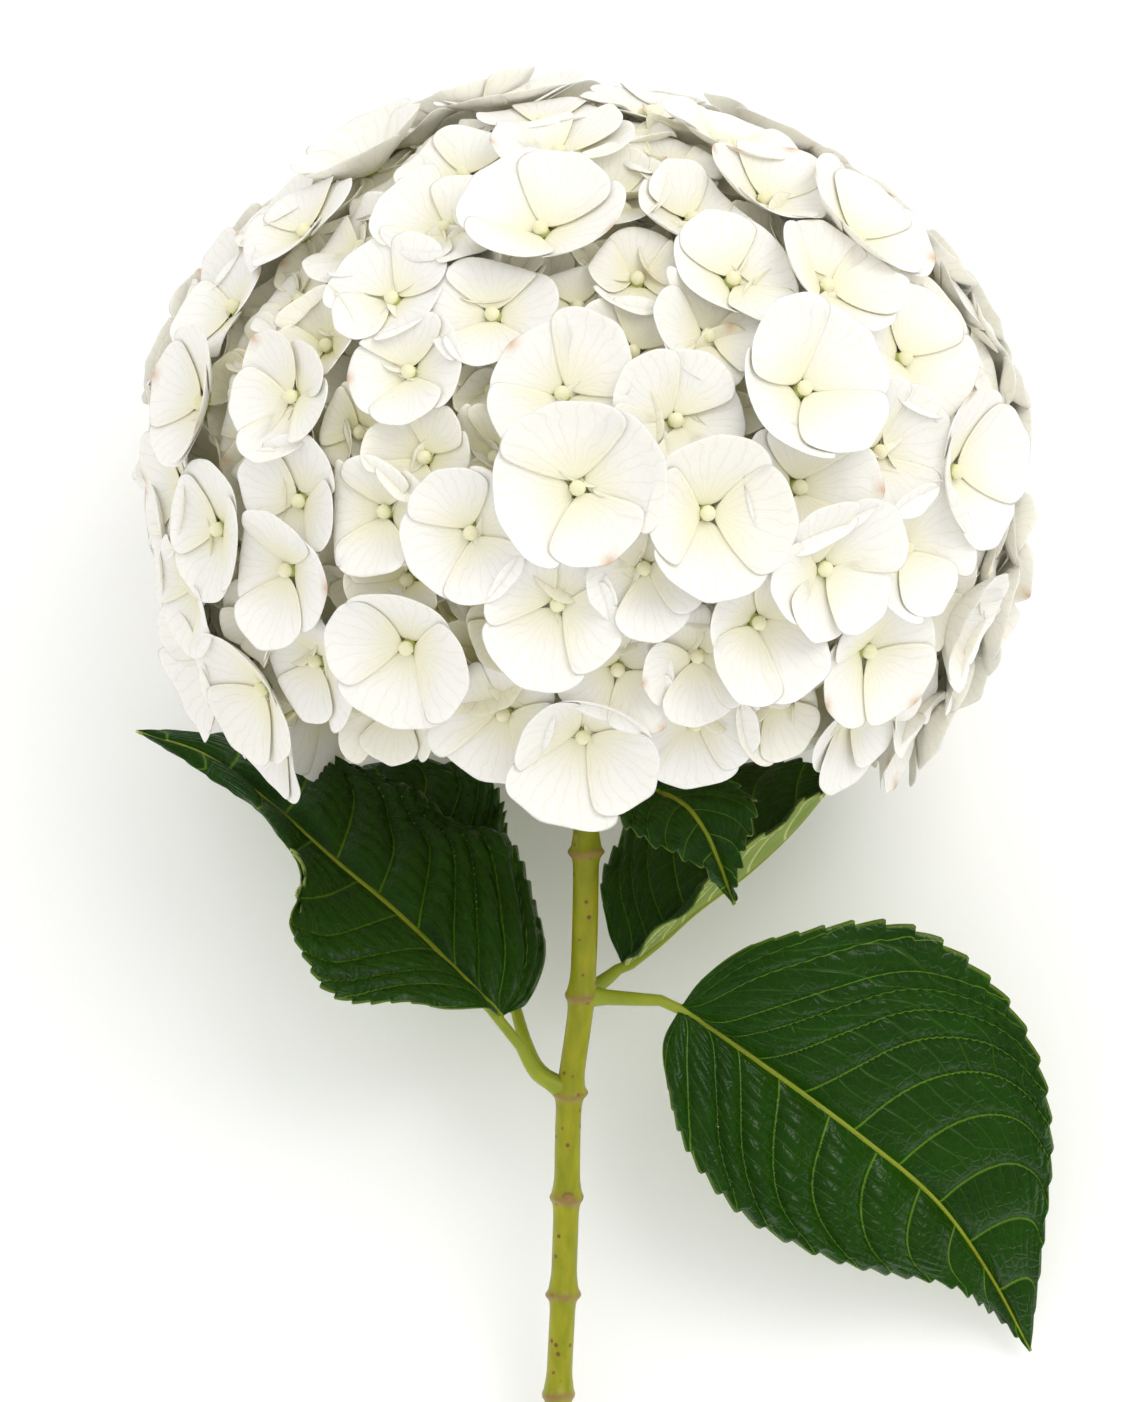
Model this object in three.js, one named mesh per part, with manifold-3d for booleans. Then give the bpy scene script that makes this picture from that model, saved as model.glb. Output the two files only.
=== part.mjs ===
// A cut mophead hydrangea, lying on a flat surface: stem, five leaves and a domed head of florets.
// Millimetres, +Z up. The plant points along +Y, and the origin lies under the middle of the head.
//
// Plant terms used below: "right" and "up" are read with the flower head at the top and the stem
// below it, and "out" points away from the surface that the cut flower lies on.
import * as THREE from 'three';
import { mergeVertices } from 'three/addons/utils/BufferGeometryUtils.js';
import Module from 'manifold-3d';

const wasm = await Module();
wasm.setup();

// ---- Driving dimensions -------------------------------------------------------------------

// The head is a dome turned about the stem's axis. These place the centres of the florets.
const HEAD_RADIUS = 91;
const DOME_HEIGHT = 73.5;
const SKIRT_DEPTH = 74;
const DOME_ROUNDNESS = 1.85;      // exponent of the outline: 2 is an ellipse, more is boxier
const SKIRT_ROUNDNESS = 2.8;
const SKIRT_END = 59;             // below this level the head is open around the stem

const FLORET_WIDTH = 24;          // a middling floret, from sepal tip to sepal tip
const FLORET_SPREAD = 9;          // widest minus narrowest
const FLORET_SPOTS = 228;         // even spread over the dome before the fixed ones clear room
const FLORET_SPACING = 0.80;      // distance between neighbours, as a share of their mean width
const FLORET_ROOM = 0.62;         // nearest a spot may start to a fixed floret, as a share of that
const SPREAD_ROUNDS = 70;         // times that neighbours push each other apart
const DEPTH_BY_WIDTH = 0.45;      // how much deeper a floret sits per millimetre it is narrower
const CUP_SLOPE = 0.3;            // how far a floret's rim rises, as a share of its radius
const SEPAL_BACK = 1.5;           // thickness behind a floret's middle
const FLORET_GAP = 0.6;           // clear space between neighbouring florets
const FLORET_REACH = 1.14;        // how far the sepals try to reach, as a share of half the width

const CLUSTERS = 50;              // sprigs of one to eight florets that share one branch
const PEDICEL_RADIUS = 0.75;
const HUB_RADIUS = 2.2;
const HUB_DEPTH = 0.73;           // where a sprig forks, as a share of the way out from the crown
const FORK_DEPTH = 0.34;          // where the main rays fork, measured the same way
const RAYS = 7;
const RAY_RADIUS = 2.1;
const BRANCH_RADIUS = 1.25;

const STEM_RADIUS = 2.9;
const STEM_LENGTH = 257;          // from the level of the head's middle down to the cut
const CROWN_LEVEL = -72;          // where the stem breaks up into rays
const NODE_SWELL = 0.9;           // how far a node stands proud of the stem
const NODE_HALF_LENGTH = 2.6;
const CUT_SLANT = 0.5;            // rise of the cut face across the stem, as a share of its width

const LEAF_THICKNESS = 1.0;
const PETIOLE_RADIUS = 1.5;
const JOIN_GAP = 0.35;            // clear space where separate pieces meet

// The flower rests on its head and on the cut end of its stem.
const HEAD_RISE = 84;             // the head's middle above the surface
const FLOOR_SOFTNESS = 4;         // how gently the florets under the head flatten
const PRESSED_LEVEL = 2;          // the level that pressed florets settle to
const PRESSED_LIMIT = 4.5;        // florets lower than this lie flat on the surface
const TILT = Math.asin((HEAD_RISE - STEM_RADIUS) / STEM_LENGTH);

const GOLDEN = (Math.sqrt(5) - 1) / 2;
const UP = new THREE.Vector3(0, 1, 0);

// Florets placed by hand on the outer side of the head: [right, up, width].
const OUTER_FLORETS = [
  [-1, -8, 30], [24, -13, 29], [-4, 10, 27], [18, 5, 27], [-22, -17, 25], [-5, -31, 25],
  [12, -24, 24], [7, -45, 22], [23, -42, 23], [-35, -40, 26], [-16, -54, 24], [0, -58, 26],
  [-40, -13, 22], [-14, -36, 17], [-18, -2, 18], [-32, -2, 20], [-35, 15, 22], [-19, 12, 15],
  [-18, 26, 24], [11, 34, 21], [-1, 28, 21], [10, 19, 21], [25, 22, 23], [30, 33, 25],
  [43, 11, 29], [42, -8, 29], [47, -24, 30], [35, -35, 25], [-57, -11, 25], [-59, 10, 24],
  [-60, -25, 25], [-55, -44, 23], [-46, 3, 18], [-53, 21, 20], [-46, 41, 22], [-28, 44, 24],
  [23, -57, 22], [56, -56, 25], [-36, -27, 19], [-23, -28, 15], [39, -53, 20], [-39, -54, 20],
];

const STEM_LINE = [
  [0.6, CROWN_LEVEL - 4, 0], [0.7, -91, 0], [-0.2, -123.6, 0], [-2.9, -146, 0], [-3.6, -169.7, 0],
  [-4.4, -191.7, 0], [-5.5, -214.6, 0], [-6.6, -STEM_LENGTH, 0],
];
const STEM_NODES = [1, 2, 3, 4, 5, 6];

// Each leaf: the point of the stem's axis that it springs from, the rest of its stalk, then the
// midrib and the two margins of its blade.
const LEAVES = {
  leaf_lower_right: {
    from: STEM_LINE[2],
    stalk: [[9.7, -123.9, 2], [17.5, -124.2, 3], [24, -127.2, 3]],
    midrib: [[22, -125.8, 3], [40, -138.2, 4.5], [62.5, -155, 3], [80.4, -170.8, -2],
      [92, -187, -7], [103.4, -208, -14]],
    left: [[22, -125.8, 3], [27, -118.6, 6], [38, -110.8, 10], [54, -106.6, 13], [74, -107.4, 12],
      [91, -119.5, 9], [102.4, -138.5, 5], [105.8, -160, 1], [104.6, -182, -6],
      [103.4, -208, -14]],
    right: [[22, -125.8, 3], [18.2, -133, 6], [19.1, -143.8, 9], [24.3, -157.3, 10],
      [35.5, -170.8, 9], [53.5, -181, 6], [70, -186.5, 1], [84.9, -190.5, -4], [94.5, -198, -10],
      [103.4, -208, -14]],
  },
  leaf_lower_left: {
    from: STEM_LINE[3],
    stalk: [[-10.5, -140.8, 2], [-14, -134.6, 3], [-19.4, -126.2, 2]],
    midrib: [[-18, -127.6, 3], [-29, -117, 0], [-42.5, -105, -7], [-56, -95, -16],
      [-72, -82.5, -27], [-88.5, -71.5, -36], [-105.4, -66.8, -43]],
    left: [[-18, -127.6, 3], [-22.9, -125.6, 9], [-34, -123.4, 14], [-47, -122.9, 15],
      [-58, -118.8, 13], [-64.2, -109, 8], [-64.2, -98, -4], [-72.5, -86, -19], [-87.5, -76.5, -33],
      [-105.4, -66.8, -43]],
    right: [[-18, -127.6, 3], [-12.4, -125.6, -3], [-8.8, -117, -11], [-10.6, -106, -17],
      [-14.2, -96.5, -23], [-20, -89.5, -27], [-31, -86.5, -30], [-40, -80.5, -35],
      [-52, -75, -39], [-72, -69.5, -42], [-91, -66.8, -44], [-105.4, -66.8, -43]],
  },
  leaf_back_left: {
    from: STEM_LINE[3],
    stalk: [[-10.2, -141, -5], [-13, -135.5, -8], [-15.8, -127, -14], [-17.5, -113, -24]],
    midrib: [[-15.8, -115, -23], [-26, -104, -31], [-38, -94, -38], [-52, -86, -44], [-66, -81.5, -49]],
    left: [[-15.8, -115, -23], [-22, -112, -20], [-34, -106, -24], [-48, -98, -32], [-60, -89, -42],
      [-66, -81.5, -49]],
    right: [[-15.8, -115, -23], [-13.6, -107, -30], [-15.5, -98, -36], [-18.5, -90, -40],
      [-19.6, -84, -43], [-23.5, -77.5, -46], [-36, -74.5, -49], [-52, -76, -51], [-66, -81.5, -49]],
  },
  leaf_folded_right: {
    from: STEM_LINE[2],
    stalk: [[5.2, -120.6, -5.4], [8, -118.6, -7.4], [13, -114.6, -7.5]],
    midrib: [[9, -117.8, -8], [18, -110.9, -7], [25.2, -104.6, -6.5], [37.5, -95.5, -7],
      [48, -86, -9], [57.5, -75, -12]],
    left: [[9, -117.8, -8], [5.8, -110, -12], [4.4, -102.5, -17], [7.2, -93, -23], [13.5, -84.5, -27],
      [24, -77.5, -29], [38, -73.5, -27], [50, -72.5, -20], [57.5, -75, -12]],
    right: [[9, -117.8, -8], [13, -112.5, -1], [21.5, -104.6, 4], [29, -97, 5], [34.5, -91.8, 5],
      [44, -84.2, 2], [51.5, -79, -3], [57.5, -75, -12]],
  },
  leaf_small_hanging: {
    from: [0.6, -82, 0],
    stalk: [[6, -78.2, 8], [9.5, -76, 13], [15, -75, 18]],
    midrib: [[12, -75, 16], [18, -76, 20], [22.6, -78.2, 23], [27, -84, 25], [30.2, -91.6, 25],
      [33.2, -100, 24]],
    left: [[12, -75, 16], [8, -76.8, 19], [8.3, -81, 23], [12.5, -84.2, 26], [18, -86.9, 28],
      [23, -89.3, 28], [27.5, -92.8, 27], [33.2, -100, 24]],
    right: [[12, -75, 16], [20, -73.2, 16], [30, -73, 18], [36.5, -76.5, 21], [36.8, -82, 24],
      [34.6, -87.5, 26], [33.4, -93.5, 26], [33.2, -100, 24]],
  },
};

// ---- Solids ---------------------------------------------------------------------------------

/** Turns a closed geometry into a solid that can be joined and cut, without its shut triangles. */
function solid(geometry) {
  geometry.deleteAttribute('normal');
  geometry.deleteAttribute('uv');
  const merged = mergeVertices(geometry, 1e-4);
  const corners = merged.index.array;
  const faces = [];
  for (let i = 0; i < corners.length; i += 3) {
    const [a, b, c] = corners.slice(i, i + 3);
    if (a !== b && b !== c && c !== a) faces.push(a, b, c);
  }
  return new wasm.Manifold(new wasm.Mesh({
    numProp: 3,
    vertProperties: new Float32Array(merged.attributes.position.array),
    triVerts: new Uint32Array(faces),
  }));
}

function join(solids) {
  return solids.reduce((whole, next) => whole.add(next));
}

function toGeometry(body) {
  const mesh = body.getMesh();
  const geometry = new THREE.BufferGeometry();
  geometry.setAttribute('position', new THREE.BufferAttribute(mesh.vertProperties, 3));
  geometry.setIndex(new THREE.BufferAttribute(mesh.triVerts, 1));
  geometry.computeVertexNormals();
  return geometry;
}

/** A round bar between two points, thick at the start and thin at the end. */
function bar(start, end, startRadius, endRadius, sides) {
  const along = end.clone().sub(start);
  const geometry = new THREE.CylinderGeometry(endRadius, startRadius, along.length(), sides);
  geometry.applyQuaternion(new THREE.Quaternion().setFromUnitVectors(UP, along.clone().normalize()));
  geometry.translate(...start.clone().lerp(end, 0.5).toArray());
  return solid(geometry);
}

function knob(centre, radius) {
  const geometry = new THREE.IcosahedronGeometry(radius, 0);
  geometry.translate(...centre.toArray());
  return solid(geometry);
}

/** A tube of even thickness along a smooth line. */
function tube(curve, radius, sides, steps) {
  const ring = new THREE.Shape();
  for (let i = 0; i < sides; i++) {
    const turn = 2 * Math.PI * i / sides;
    const point = [radius * Math.cos(turn), radius * Math.sin(turn)];
    if (i === 0) ring.moveTo(...point);
    else ring.lineTo(...point);
  }
  ring.closePath();
  return solid(new THREE.ExtrudeGeometry(ring, { steps, extrudePath: curve, bevelEnabled: false }));
}

// ---- The lying pose -------------------------------------------------------------------------

/** From the plant's own directions (right, up, out from the head's middle) to where it lies. */
function lay(right, up, out) {
  return new THREE.Vector3(
    right,
    up * Math.cos(TILT) - out * Math.sin(TILT),
    HEAD_RISE + up * Math.sin(TILT) + out * Math.cos(TILT),
  );
}

function layCurve(points) {
  return new THREE.CatmullRomCurve3(points.map((point) => lay(...point)), false, 'centripetal');
}

/** How the surface pushes the florets under the head up and flattens them. */
function settle(level) {
  return PRESSED_LEVEL + FLOOR_SOFTNESS * Math.log1p(Math.exp((level - PRESSED_LEVEL) / FLOOR_SOFTNESS));
}

function settleSlope(level) {
  return 1 / (1 + Math.exp(-(level - PRESSED_LEVEL) / FLOOR_SOFTNESS));
}

// ---- Where the florets sit ------------------------------------------------------------------

/** Radius of the dome at a level. */
function domeRadius(level) {
  const depth = level >= 0 ? DOME_HEIGHT : SKIRT_DEPTH;
  const power = level >= 0 ? DOME_ROUNDNESS : SKIRT_ROUNDNESS;
  const share = Math.min(Math.abs(level) / depth, 1);
  return HEAD_RADIUS * (1 - share ** power) ** (1 / power);
}

/** The point of the dome in the direction of a point, in the plant's own directions. */
function ontoDome(point) {
  const depth = point.y >= 0 ? DOME_HEIGHT : SKIRT_DEPTH;
  const power = point.y >= 0 ? DOME_ROUNDNESS : SKIRT_ROUNDNESS;
  const flat = Math.hypot(point.x, point.z);
  const size = ((flat / HEAD_RADIUS) ** power + (Math.abs(point.y) / depth) ** power) ** (1 / power);
  const onDome = point.clone().divideScalar(size);
  if (onDome.y < -SKIRT_END) {
    const spread = domeRadius(-SKIRT_END) / Math.max(Math.hypot(onDome.x, onDome.z), 1);
    onDome.set(onDome.x * spread, -SKIRT_END, onDome.z * spread);
  }
  return onDome;
}

function domeNormal(point) {
  const depth = point.y >= 0 ? DOME_HEIGHT : SKIRT_DEPTH;
  const power = point.y >= 0 ? DOME_ROUNDNESS : SKIRT_ROUNDNESS;
  const flat = Math.hypot(point.x, point.z);
  const side = (flat / HEAD_RADIUS) ** (power - 1) / HEAD_RADIUS;
  const rise = Math.sign(point.y) * (Math.abs(point.y) / depth) ** (power - 1) / depth;
  return new THREE.Vector3(side * point.x / flat, rise, side * point.z / flat).normalize();
}

/** The hand-placed florets, one to lie flat under the head, and an even spread for the rest. */
function startFlorets() {
  const florets = OUTER_FLORETS.map(([right, up, width]) => ({
    at: new THREE.Vector3(right, up, Math.sqrt(domeRadius(up) ** 2 - right ** 2)), width, fixed: true,
  }));
  const under = new THREE.Vector3(0, HEAD_RISE * -Math.sin(TILT), HEAD_RISE * -Math.cos(TILT));
  florets.push({ at: ontoDome(under), width: FLORET_WIDTH + FLORET_SPREAD / 3, fixed: true });
  for (let i = 0; i < FLORET_SPOTS; i++) {
    const level = DOME_HEIGHT - (DOME_HEIGHT + SKIRT_END) * (i + 0.5) / FLORET_SPOTS;
    const turn = 2 * Math.PI * ((i * GOLDEN) % 1);
    const at = ontoDome(new THREE.Vector3(Math.sin(turn), 0, Math.cos(turn))
      .multiplyScalar(Math.max(domeRadius(level), 1)).setY(level));
    const width = FLORET_WIDTH + FLORET_SPREAD * (((i * 7 * GOLDEN) % 1) - 0.5);
    const room = FLORET_ROOM * FLORET_SPACING;
    const clearOf = (other) => other.at.distanceTo(at) > room * (other.width + width) / 2;
    if (florets.every((other) => !other.fixed || clearOf(other))) {
      florets.push({ at, width, fixed: false });
    }
  }
  return florets;
}

/** Neighbours push each other apart until they are evenly packed over the dome. */
function spreadFlorets(florets) {
  for (let round = 0; round < SPREAD_ROUNDS; round++) {
    const pushes = florets.map(() => new THREE.Vector3());
    for (let i = 0; i < florets.length; i++) {
      for (let j = i + 1; j < florets.length; j++) {
        const apart = florets[i].at.clone().sub(florets[j].at);
        const wanted = FLORET_SPACING * (florets[i].width + florets[j].width) / 2;
        const lack = wanted - apart.length();
        if (lack > 0) {
          apart.setLength(lack * 0.4);
          pushes[i].add(apart);
          pushes[j].sub(apart);
        }
      }
    }
    florets.forEach((floret, i) => {
      if (!floret.fixed) floret.at = ontoDome(floret.at.add(pushes[i]));
    });
  }
}

/** Lays a floret of the dome where the lying head holds it, with small ones set deeper. */
function layFloret({ at, width }) {
  const facing = domeNormal(at);
  const proud = (width - FLORET_WIDTH) * DEPTH_BY_WIDTH;
  const spot = at.clone().addScaledVector(facing, proud);
  const middle = lay(spot.x, spot.y, spot.z);
  const axis = lay(facing.x, facing.y, facing.z).sub(lay(0, 0, 0));
  axis.z /= Math.max(settleSlope(middle.z), 0.02);
  middle.z = settle(middle.z);
  axis.normalize();
  const pressed = middle.z < PRESSED_LIMIT;
  if (pressed) {
    middle.z = 0;
    axis.set(0, 0, -1);
  }
  return { middle, axis, width, pressed };
}

function makeFlorets() {
  const florets = startFlorets();
  spreadFlorets(florets);
  return florets.map(layFloret);
}

// ---- A floret -------------------------------------------------------------------------------

const OUTLINE = [1, 0.86, 1, 0.86, 1, 0.86, 1, 0.86];   // four sepals and the notches between

/** True if a point stays on its own floret's side, halfway to each neighbour. */
function hasRoom(point, floret, neighbours) {
  return neighbours.every((other) => {
    const towards = other.middle.clone().sub(floret.middle);
    const distance = towards.length();
    const share = floret.width / (floret.width + other.width);
    const past = point.clone().sub(floret.middle).dot(towards) / distance;
    return past < distance * share - FLORET_GAP / 2;
  });
}

/** A point of the floret's rim, drawn in until it clears the neighbours. */
function rimPoint(floret, direction, reach, neighbours) {
  const steps = 24;
  let point = floret.middle.clone();
  for (let k = steps; k > 2; k--) {
    const radius = reach * k / steps;
    const rise = floret.pressed ? 0 : CUP_SLOPE * radius * (radius / reach);
    point = floret.middle.clone().addScaledVector(direction, radius).addScaledVector(floret.axis, rise);
    point.z = Math.max(point.z, 0);
    if (hasRoom(point, floret, neighbours)) break;
  }
  return point;
}

/** One floret with its pedicel: a shallow cup on a stalk that ends inside the sprig's fork. */
function floretSolid(floret, neighbours, fork, turn) {
  const sides = OUTLINE.length;
  const reach = FLORET_REACH * floret.width / 2;
  const profile = [[0, 0], [3, 0], [2, -1], [1, -2], [0, -2]].reverse();
  const geometry = new THREE.LatheGeometry(profile.map((p) => new THREE.Vector2(...p)), sides);
  const frame = new THREE.Quaternion().setFromUnitVectors(UP, floret.axis);
  const root = floret.middle.clone().addScaledVector(floret.axis, -SEPAL_BACK);
  const place = geometry.attributes.position;
  for (let i = 0; i < place.count; i++) {
    const corner = new THREE.Vector3().fromBufferAttribute(place, i);
    const ring = Math.round(Math.hypot(corner.x, corner.z));
    const side = (Math.round(Math.atan2(corner.z, corner.x) / (2 * Math.PI) * sides) + sides) % sides;
    const corners = ring === 3 ? side : side - side % 2;      // eight at the rim, four on the stalk
    const angle = 2 * Math.PI * corners / sides + turn;
    const direction = new THREE.Vector3(Math.cos(angle), 0, Math.sin(angle)).applyQuaternion(frame);
    const top = Math.round(corner.y) === 0;
    let point;
    if (ring === 0) point = top ? floret.middle.clone() : fork.clone();
    else if (ring === 3) point = rimPoint(floret, direction, OUTLINE[side] * reach, neighbours);
    else if (ring === 2) point = root.clone().addScaledVector(direction, 2 * PEDICEL_RADIUS);
    else point = fork.clone().addScaledVector(direction, PEDICEL_RADIUS);
    place.setXYZ(i, ...point.toArray());
  }
  return solid(geometry);
}

// ---- Sprigs and branches --------------------------------------------------------------------

const CROWN = lay(0.6, CROWN_LEVEL, 0);

/** Shares florets out to sprigs by direction from the crown, so that no sprig crosses another. */
function shareOut(items, count, directionOf) {
  let middles = [directionOf(items[0]).clone()];
  while (middles.length < count) {
    const lonely = items.map((item) => Math.max(...middles.map((m) => m.dot(directionOf(item)))));
    middles.push(directionOf(items[lonely.indexOf(Math.min(...lonely))]).clone());
  }
  let groups = [];
  for (let round = 0; round < 8; round++) {
    groups = middles.map(() => []);
    for (const item of items) {
      const near = middles.map((m) => m.dot(directionOf(item)));
      groups[near.indexOf(Math.max(...near))].push(item);
    }
    middles = groups.map((group, k) => {
      const sum = new THREE.Vector3();
      group.forEach((item) => sum.add(directionOf(item)));
      return group.length ? sum.normalize() : middles[k];
    });
  }
  return groups.filter((group) => group.length > 0);
}

function meanPoint(points) {
  const sum = new THREE.Vector3();
  points.forEach((point) => sum.add(point));
  return sum.divideScalar(points.length);
}

function makeSprigs(florets) {
  const fromCrown = (floret) => floret.middle.clone().sub(CROWN).normalize();
  return shareOut(florets, CLUSTERS, fromCrown).map((group) => {
    const fork = CROWN.clone().lerp(meanPoint(group.map((floret) => floret.middle)), HUB_DEPTH);
    fork.z = Math.max(fork.z, HUB_RADIUS + SEPAL_BACK + 1.5);
    return { group, fork };
  });
}

function sprigSolid({ group, fork }, florets, number) {
  const bodies = group.map((floret, i) => {
    const reach = floret.width + FLORET_WIDTH;
    const neighbours = florets.filter((other) => other !== floret
      && other.middle.distanceTo(floret.middle) < reach);
    return floretSolid(floret, neighbours, fork, (number + i) * GOLDEN * Math.PI / 2);
  });
  return join([knob(fork, HUB_RADIUS), ...bodies]);
}

/** The rays inside the head, each forking to its sprigs and stopping just short of them. */
function rayParts(sprigs) {
  const direction = (sprig) => sprig.fork.clone().sub(CROWN).normalize();
  const parts = [knob(CROWN, STEM_RADIUS * 1.5)];
  for (const group of shareOut(sprigs, RAYS, direction)) {
    const fork = CROWN.clone().lerp(meanPoint(group.map((sprig) => sprig.fork)), FORK_DEPTH / HUB_DEPTH);
    parts.push(bar(CROWN, fork, RAY_RADIUS * 1.15, RAY_RADIUS, 5));
    parts.push(knob(fork, RAY_RADIUS * 1.3));
    for (const sprig of group) {
      const along = sprig.fork.clone().sub(fork);
      along.setLength(along.length() - HUB_RADIUS - JOIN_GAP);
      parts.push(bar(fork, fork.clone().add(along), BRANCH_RADIUS, BRANCH_RADIUS * 0.85, 4));
    }
  }
  return parts;
}

function stemSolid(sprigs) {
  const line = layCurve(STEM_LINE);
  const parts = [tube(line, STEM_RADIUS, 8, 14)];
  for (const index of STEM_NODES) {
    const swelling = new THREE.SphereGeometry(1, 8, 4);
    swelling.scale(STEM_RADIUS + NODE_SWELL, NODE_HALF_LENGTH, STEM_RADIUS + NODE_SWELL);
    swelling.rotateX(TILT);
    swelling.translate(...lay(...STEM_LINE[index]).toArray());
    parts.push(solid(swelling));
  }
  parts.push(bar(lay(...STEM_LINE[0]), CROWN, STEM_RADIUS, STEM_RADIUS * 1.2, 8));
  const whole = join([...parts, ...rayParts(sprigs)]);
  return whole.subtract(cutWedge());
}

/** What the slanting cut takes off the foot of the stem. */
function cutWedge() {
  const size = 10 * STEM_RADIUS;
  const block = new THREE.BoxGeometry(size, size, size);
  block.translate(0, -size / 2, 0);
  block.rotateX(Math.atan(CUT_SLANT));
  block.rotateX(TILT);
  const end = STEM_LINE[STEM_LINE.length - 1];
  block.translate(...lay(end[0], end[1] + STEM_RADIUS * CUT_SLANT, 0).toArray());
  return solid(block);
}

// ---- Leaves ---------------------------------------------------------------------------------

/** A thin closed blade between two margins, with the midrib as the bottom of its fold. */
function bladeSolid({ midrib, left, right }) {
  const along = 12;
  const across = 4;
  const rib = layCurve(midrib);
  const sides = { left: layCurve(left), right: layCurve(right) };
  const geometry = new THREE.BoxGeometry(2, 1, 1, across, along, 1);
  const place = geometry.attributes.position;
  const surface = (u, v) => {
    const edge = (u < 0 ? sides.left : sides.right).getPoint(v);
    return rib.getPoint(v).lerp(edge, Math.abs(u));
  };
  for (let i = 0; i < place.count; i++) {
    const u = place.getX(i);
    const v = THREE.MathUtils.clamp(place.getY(i) + 0.5, 0.02, 0.985);
    const step = 0.01;
    const lengthwise = surface(0, Math.min(v + step, 1)).sub(surface(0, v - step));
    const side = Math.abs(u) < step ? surface(1, v).sub(surface(-1, v))
      : surface(u, v).sub(surface(0, v)).multiplyScalar(Math.sign(u));
    const facing = side.cross(lengthwise).normalize();
    const point = surface(u, v).addScaledVector(facing, LEAF_THICKNESS * place.getZ(i));
    point.z = Math.max(point.z, LEAF_THICKNESS * (0.5 + place.getZ(i)));
    place.setXYZ(i, ...point.toArray());
  }
  return solid(geometry);
}

/** Where a stalk begins: just clear of the swollen stem, on the way to the stalk's next point. */
function stalkFoot({ from, stalk }) {
  const axis = new THREE.Vector3(...from);
  const way = new THREE.Vector3(...stalk[0]).sub(axis).normalize();
  const sideways = Math.hypot(way.x, way.z);
  const clear = STEM_RADIUS + NODE_SWELL + JOIN_GAP + PETIOLE_RADIUS * Math.abs(way.y);
  return axis.addScaledVector(way, clear / sideways).toArray();
}

function leafSolid(leaf) {
  const stalk = tube(layCurve([stalkFoot(leaf), ...leaf.stalk]), PETIOLE_RADIUS, 6, 5);
  return join([bladeSolid(leaf), stalk]);
}

// ---- The assembled flower -------------------------------------------------------------------

const petalWhite = new THREE.MeshStandardMaterial({ color: 0xf2f0e4, roughness: 0.6, metalness: 0 });
const stemGreen = new THREE.MeshStandardMaterial({ color: 0x98a03a, roughness: 0.55, metalness: 0 });
const leafGreen = new THREE.MeshStandardMaterial({ color: 0x2c5414, roughness: 0.5, metalness: 0 });

const flower = new THREE.Group();

function addPiece(name, body, material) {
  const mesh = new THREE.Mesh(toGeometry(body), material);
  mesh.name = name;
  flower.add(mesh);
}

const florets = makeFlorets();
const sprigs = makeSprigs(florets);

addPiece('stem', stemSolid(sprigs), stemGreen);
for (const [name, leaf] of Object.entries(LEAVES)) {
  addPiece(name, leafSolid(leaf), leafGreen);
}
sprigs.forEach((sprig, number) => {
  const name = `floret_sprig_${String(number + 1).padStart(2, '0')}`;
  addPiece(name, sprigSolid(sprig, florets, number), petalWhite);
});

export default flower;
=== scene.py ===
"""A cut white mophead hydrangea, lying on its side on a pale surface.

Sizes are in millimetres until a mesh is finished, and metres after that. "Right" and "up" are read
with the flower head at the top and its stem below; "out" points away from the surface it lies on.
"""
import copy
import math

import bmesh
import bpy
import numpy as np
from mathutils import Matrix, Vector


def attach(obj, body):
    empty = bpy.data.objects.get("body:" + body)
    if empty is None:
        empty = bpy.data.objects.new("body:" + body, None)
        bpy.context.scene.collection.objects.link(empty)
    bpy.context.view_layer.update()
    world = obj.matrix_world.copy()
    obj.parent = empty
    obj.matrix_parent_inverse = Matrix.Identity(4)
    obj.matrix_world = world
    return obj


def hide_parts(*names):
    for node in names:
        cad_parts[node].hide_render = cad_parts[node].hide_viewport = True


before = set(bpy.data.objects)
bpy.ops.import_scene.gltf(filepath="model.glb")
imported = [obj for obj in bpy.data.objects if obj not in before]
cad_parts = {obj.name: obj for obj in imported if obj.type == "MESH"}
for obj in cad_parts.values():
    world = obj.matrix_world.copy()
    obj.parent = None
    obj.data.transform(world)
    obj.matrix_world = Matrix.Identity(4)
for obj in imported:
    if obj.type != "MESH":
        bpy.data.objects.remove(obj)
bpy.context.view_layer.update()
MM = 0.001
RNG = np.random.default_rng(11)

# ---- Sizes shared with the solid model --------------------------------------------------------

HEAD_RADIUS = 91
DOME_HEIGHT = 73.5
SKIRT_DEPTH = 74
DOME_ROUNDNESS = 1.85
SKIRT_ROUNDNESS = 2.8
SKIRT_END = 59
FLORET_WIDTH = 24
FLORET_SPREAD = 9
FLORET_SPOTS = 228
FLORET_SPACING = 0.80
FLORET_ROOM = 0.62
SPREAD_ROUNDS = 70
DEPTH_BY_WIDTH = 0.45
CLUSTERS = 50
HUB_RADIUS = 2.2
HUB_DEPTH = 0.73
FORK_DEPTH = 0.34
RAYS = 7
STEM_RADIUS = 2.9
NODE_SWELL = 0.9
CUT_SLANT = 0.5
STEM_LENGTH = 257
CROWN_LEVEL = -72
HEAD_RISE = 84
FLOOR_SOFTNESS = 4
PRESSED_LEVEL = 2
PRESSED_LIMIT = 4.5
TILT = math.asin((HEAD_RISE - STEM_RADIUS) / STEM_LENGTH)
GOLDEN = (math.sqrt(5) - 1) / 2

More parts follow.
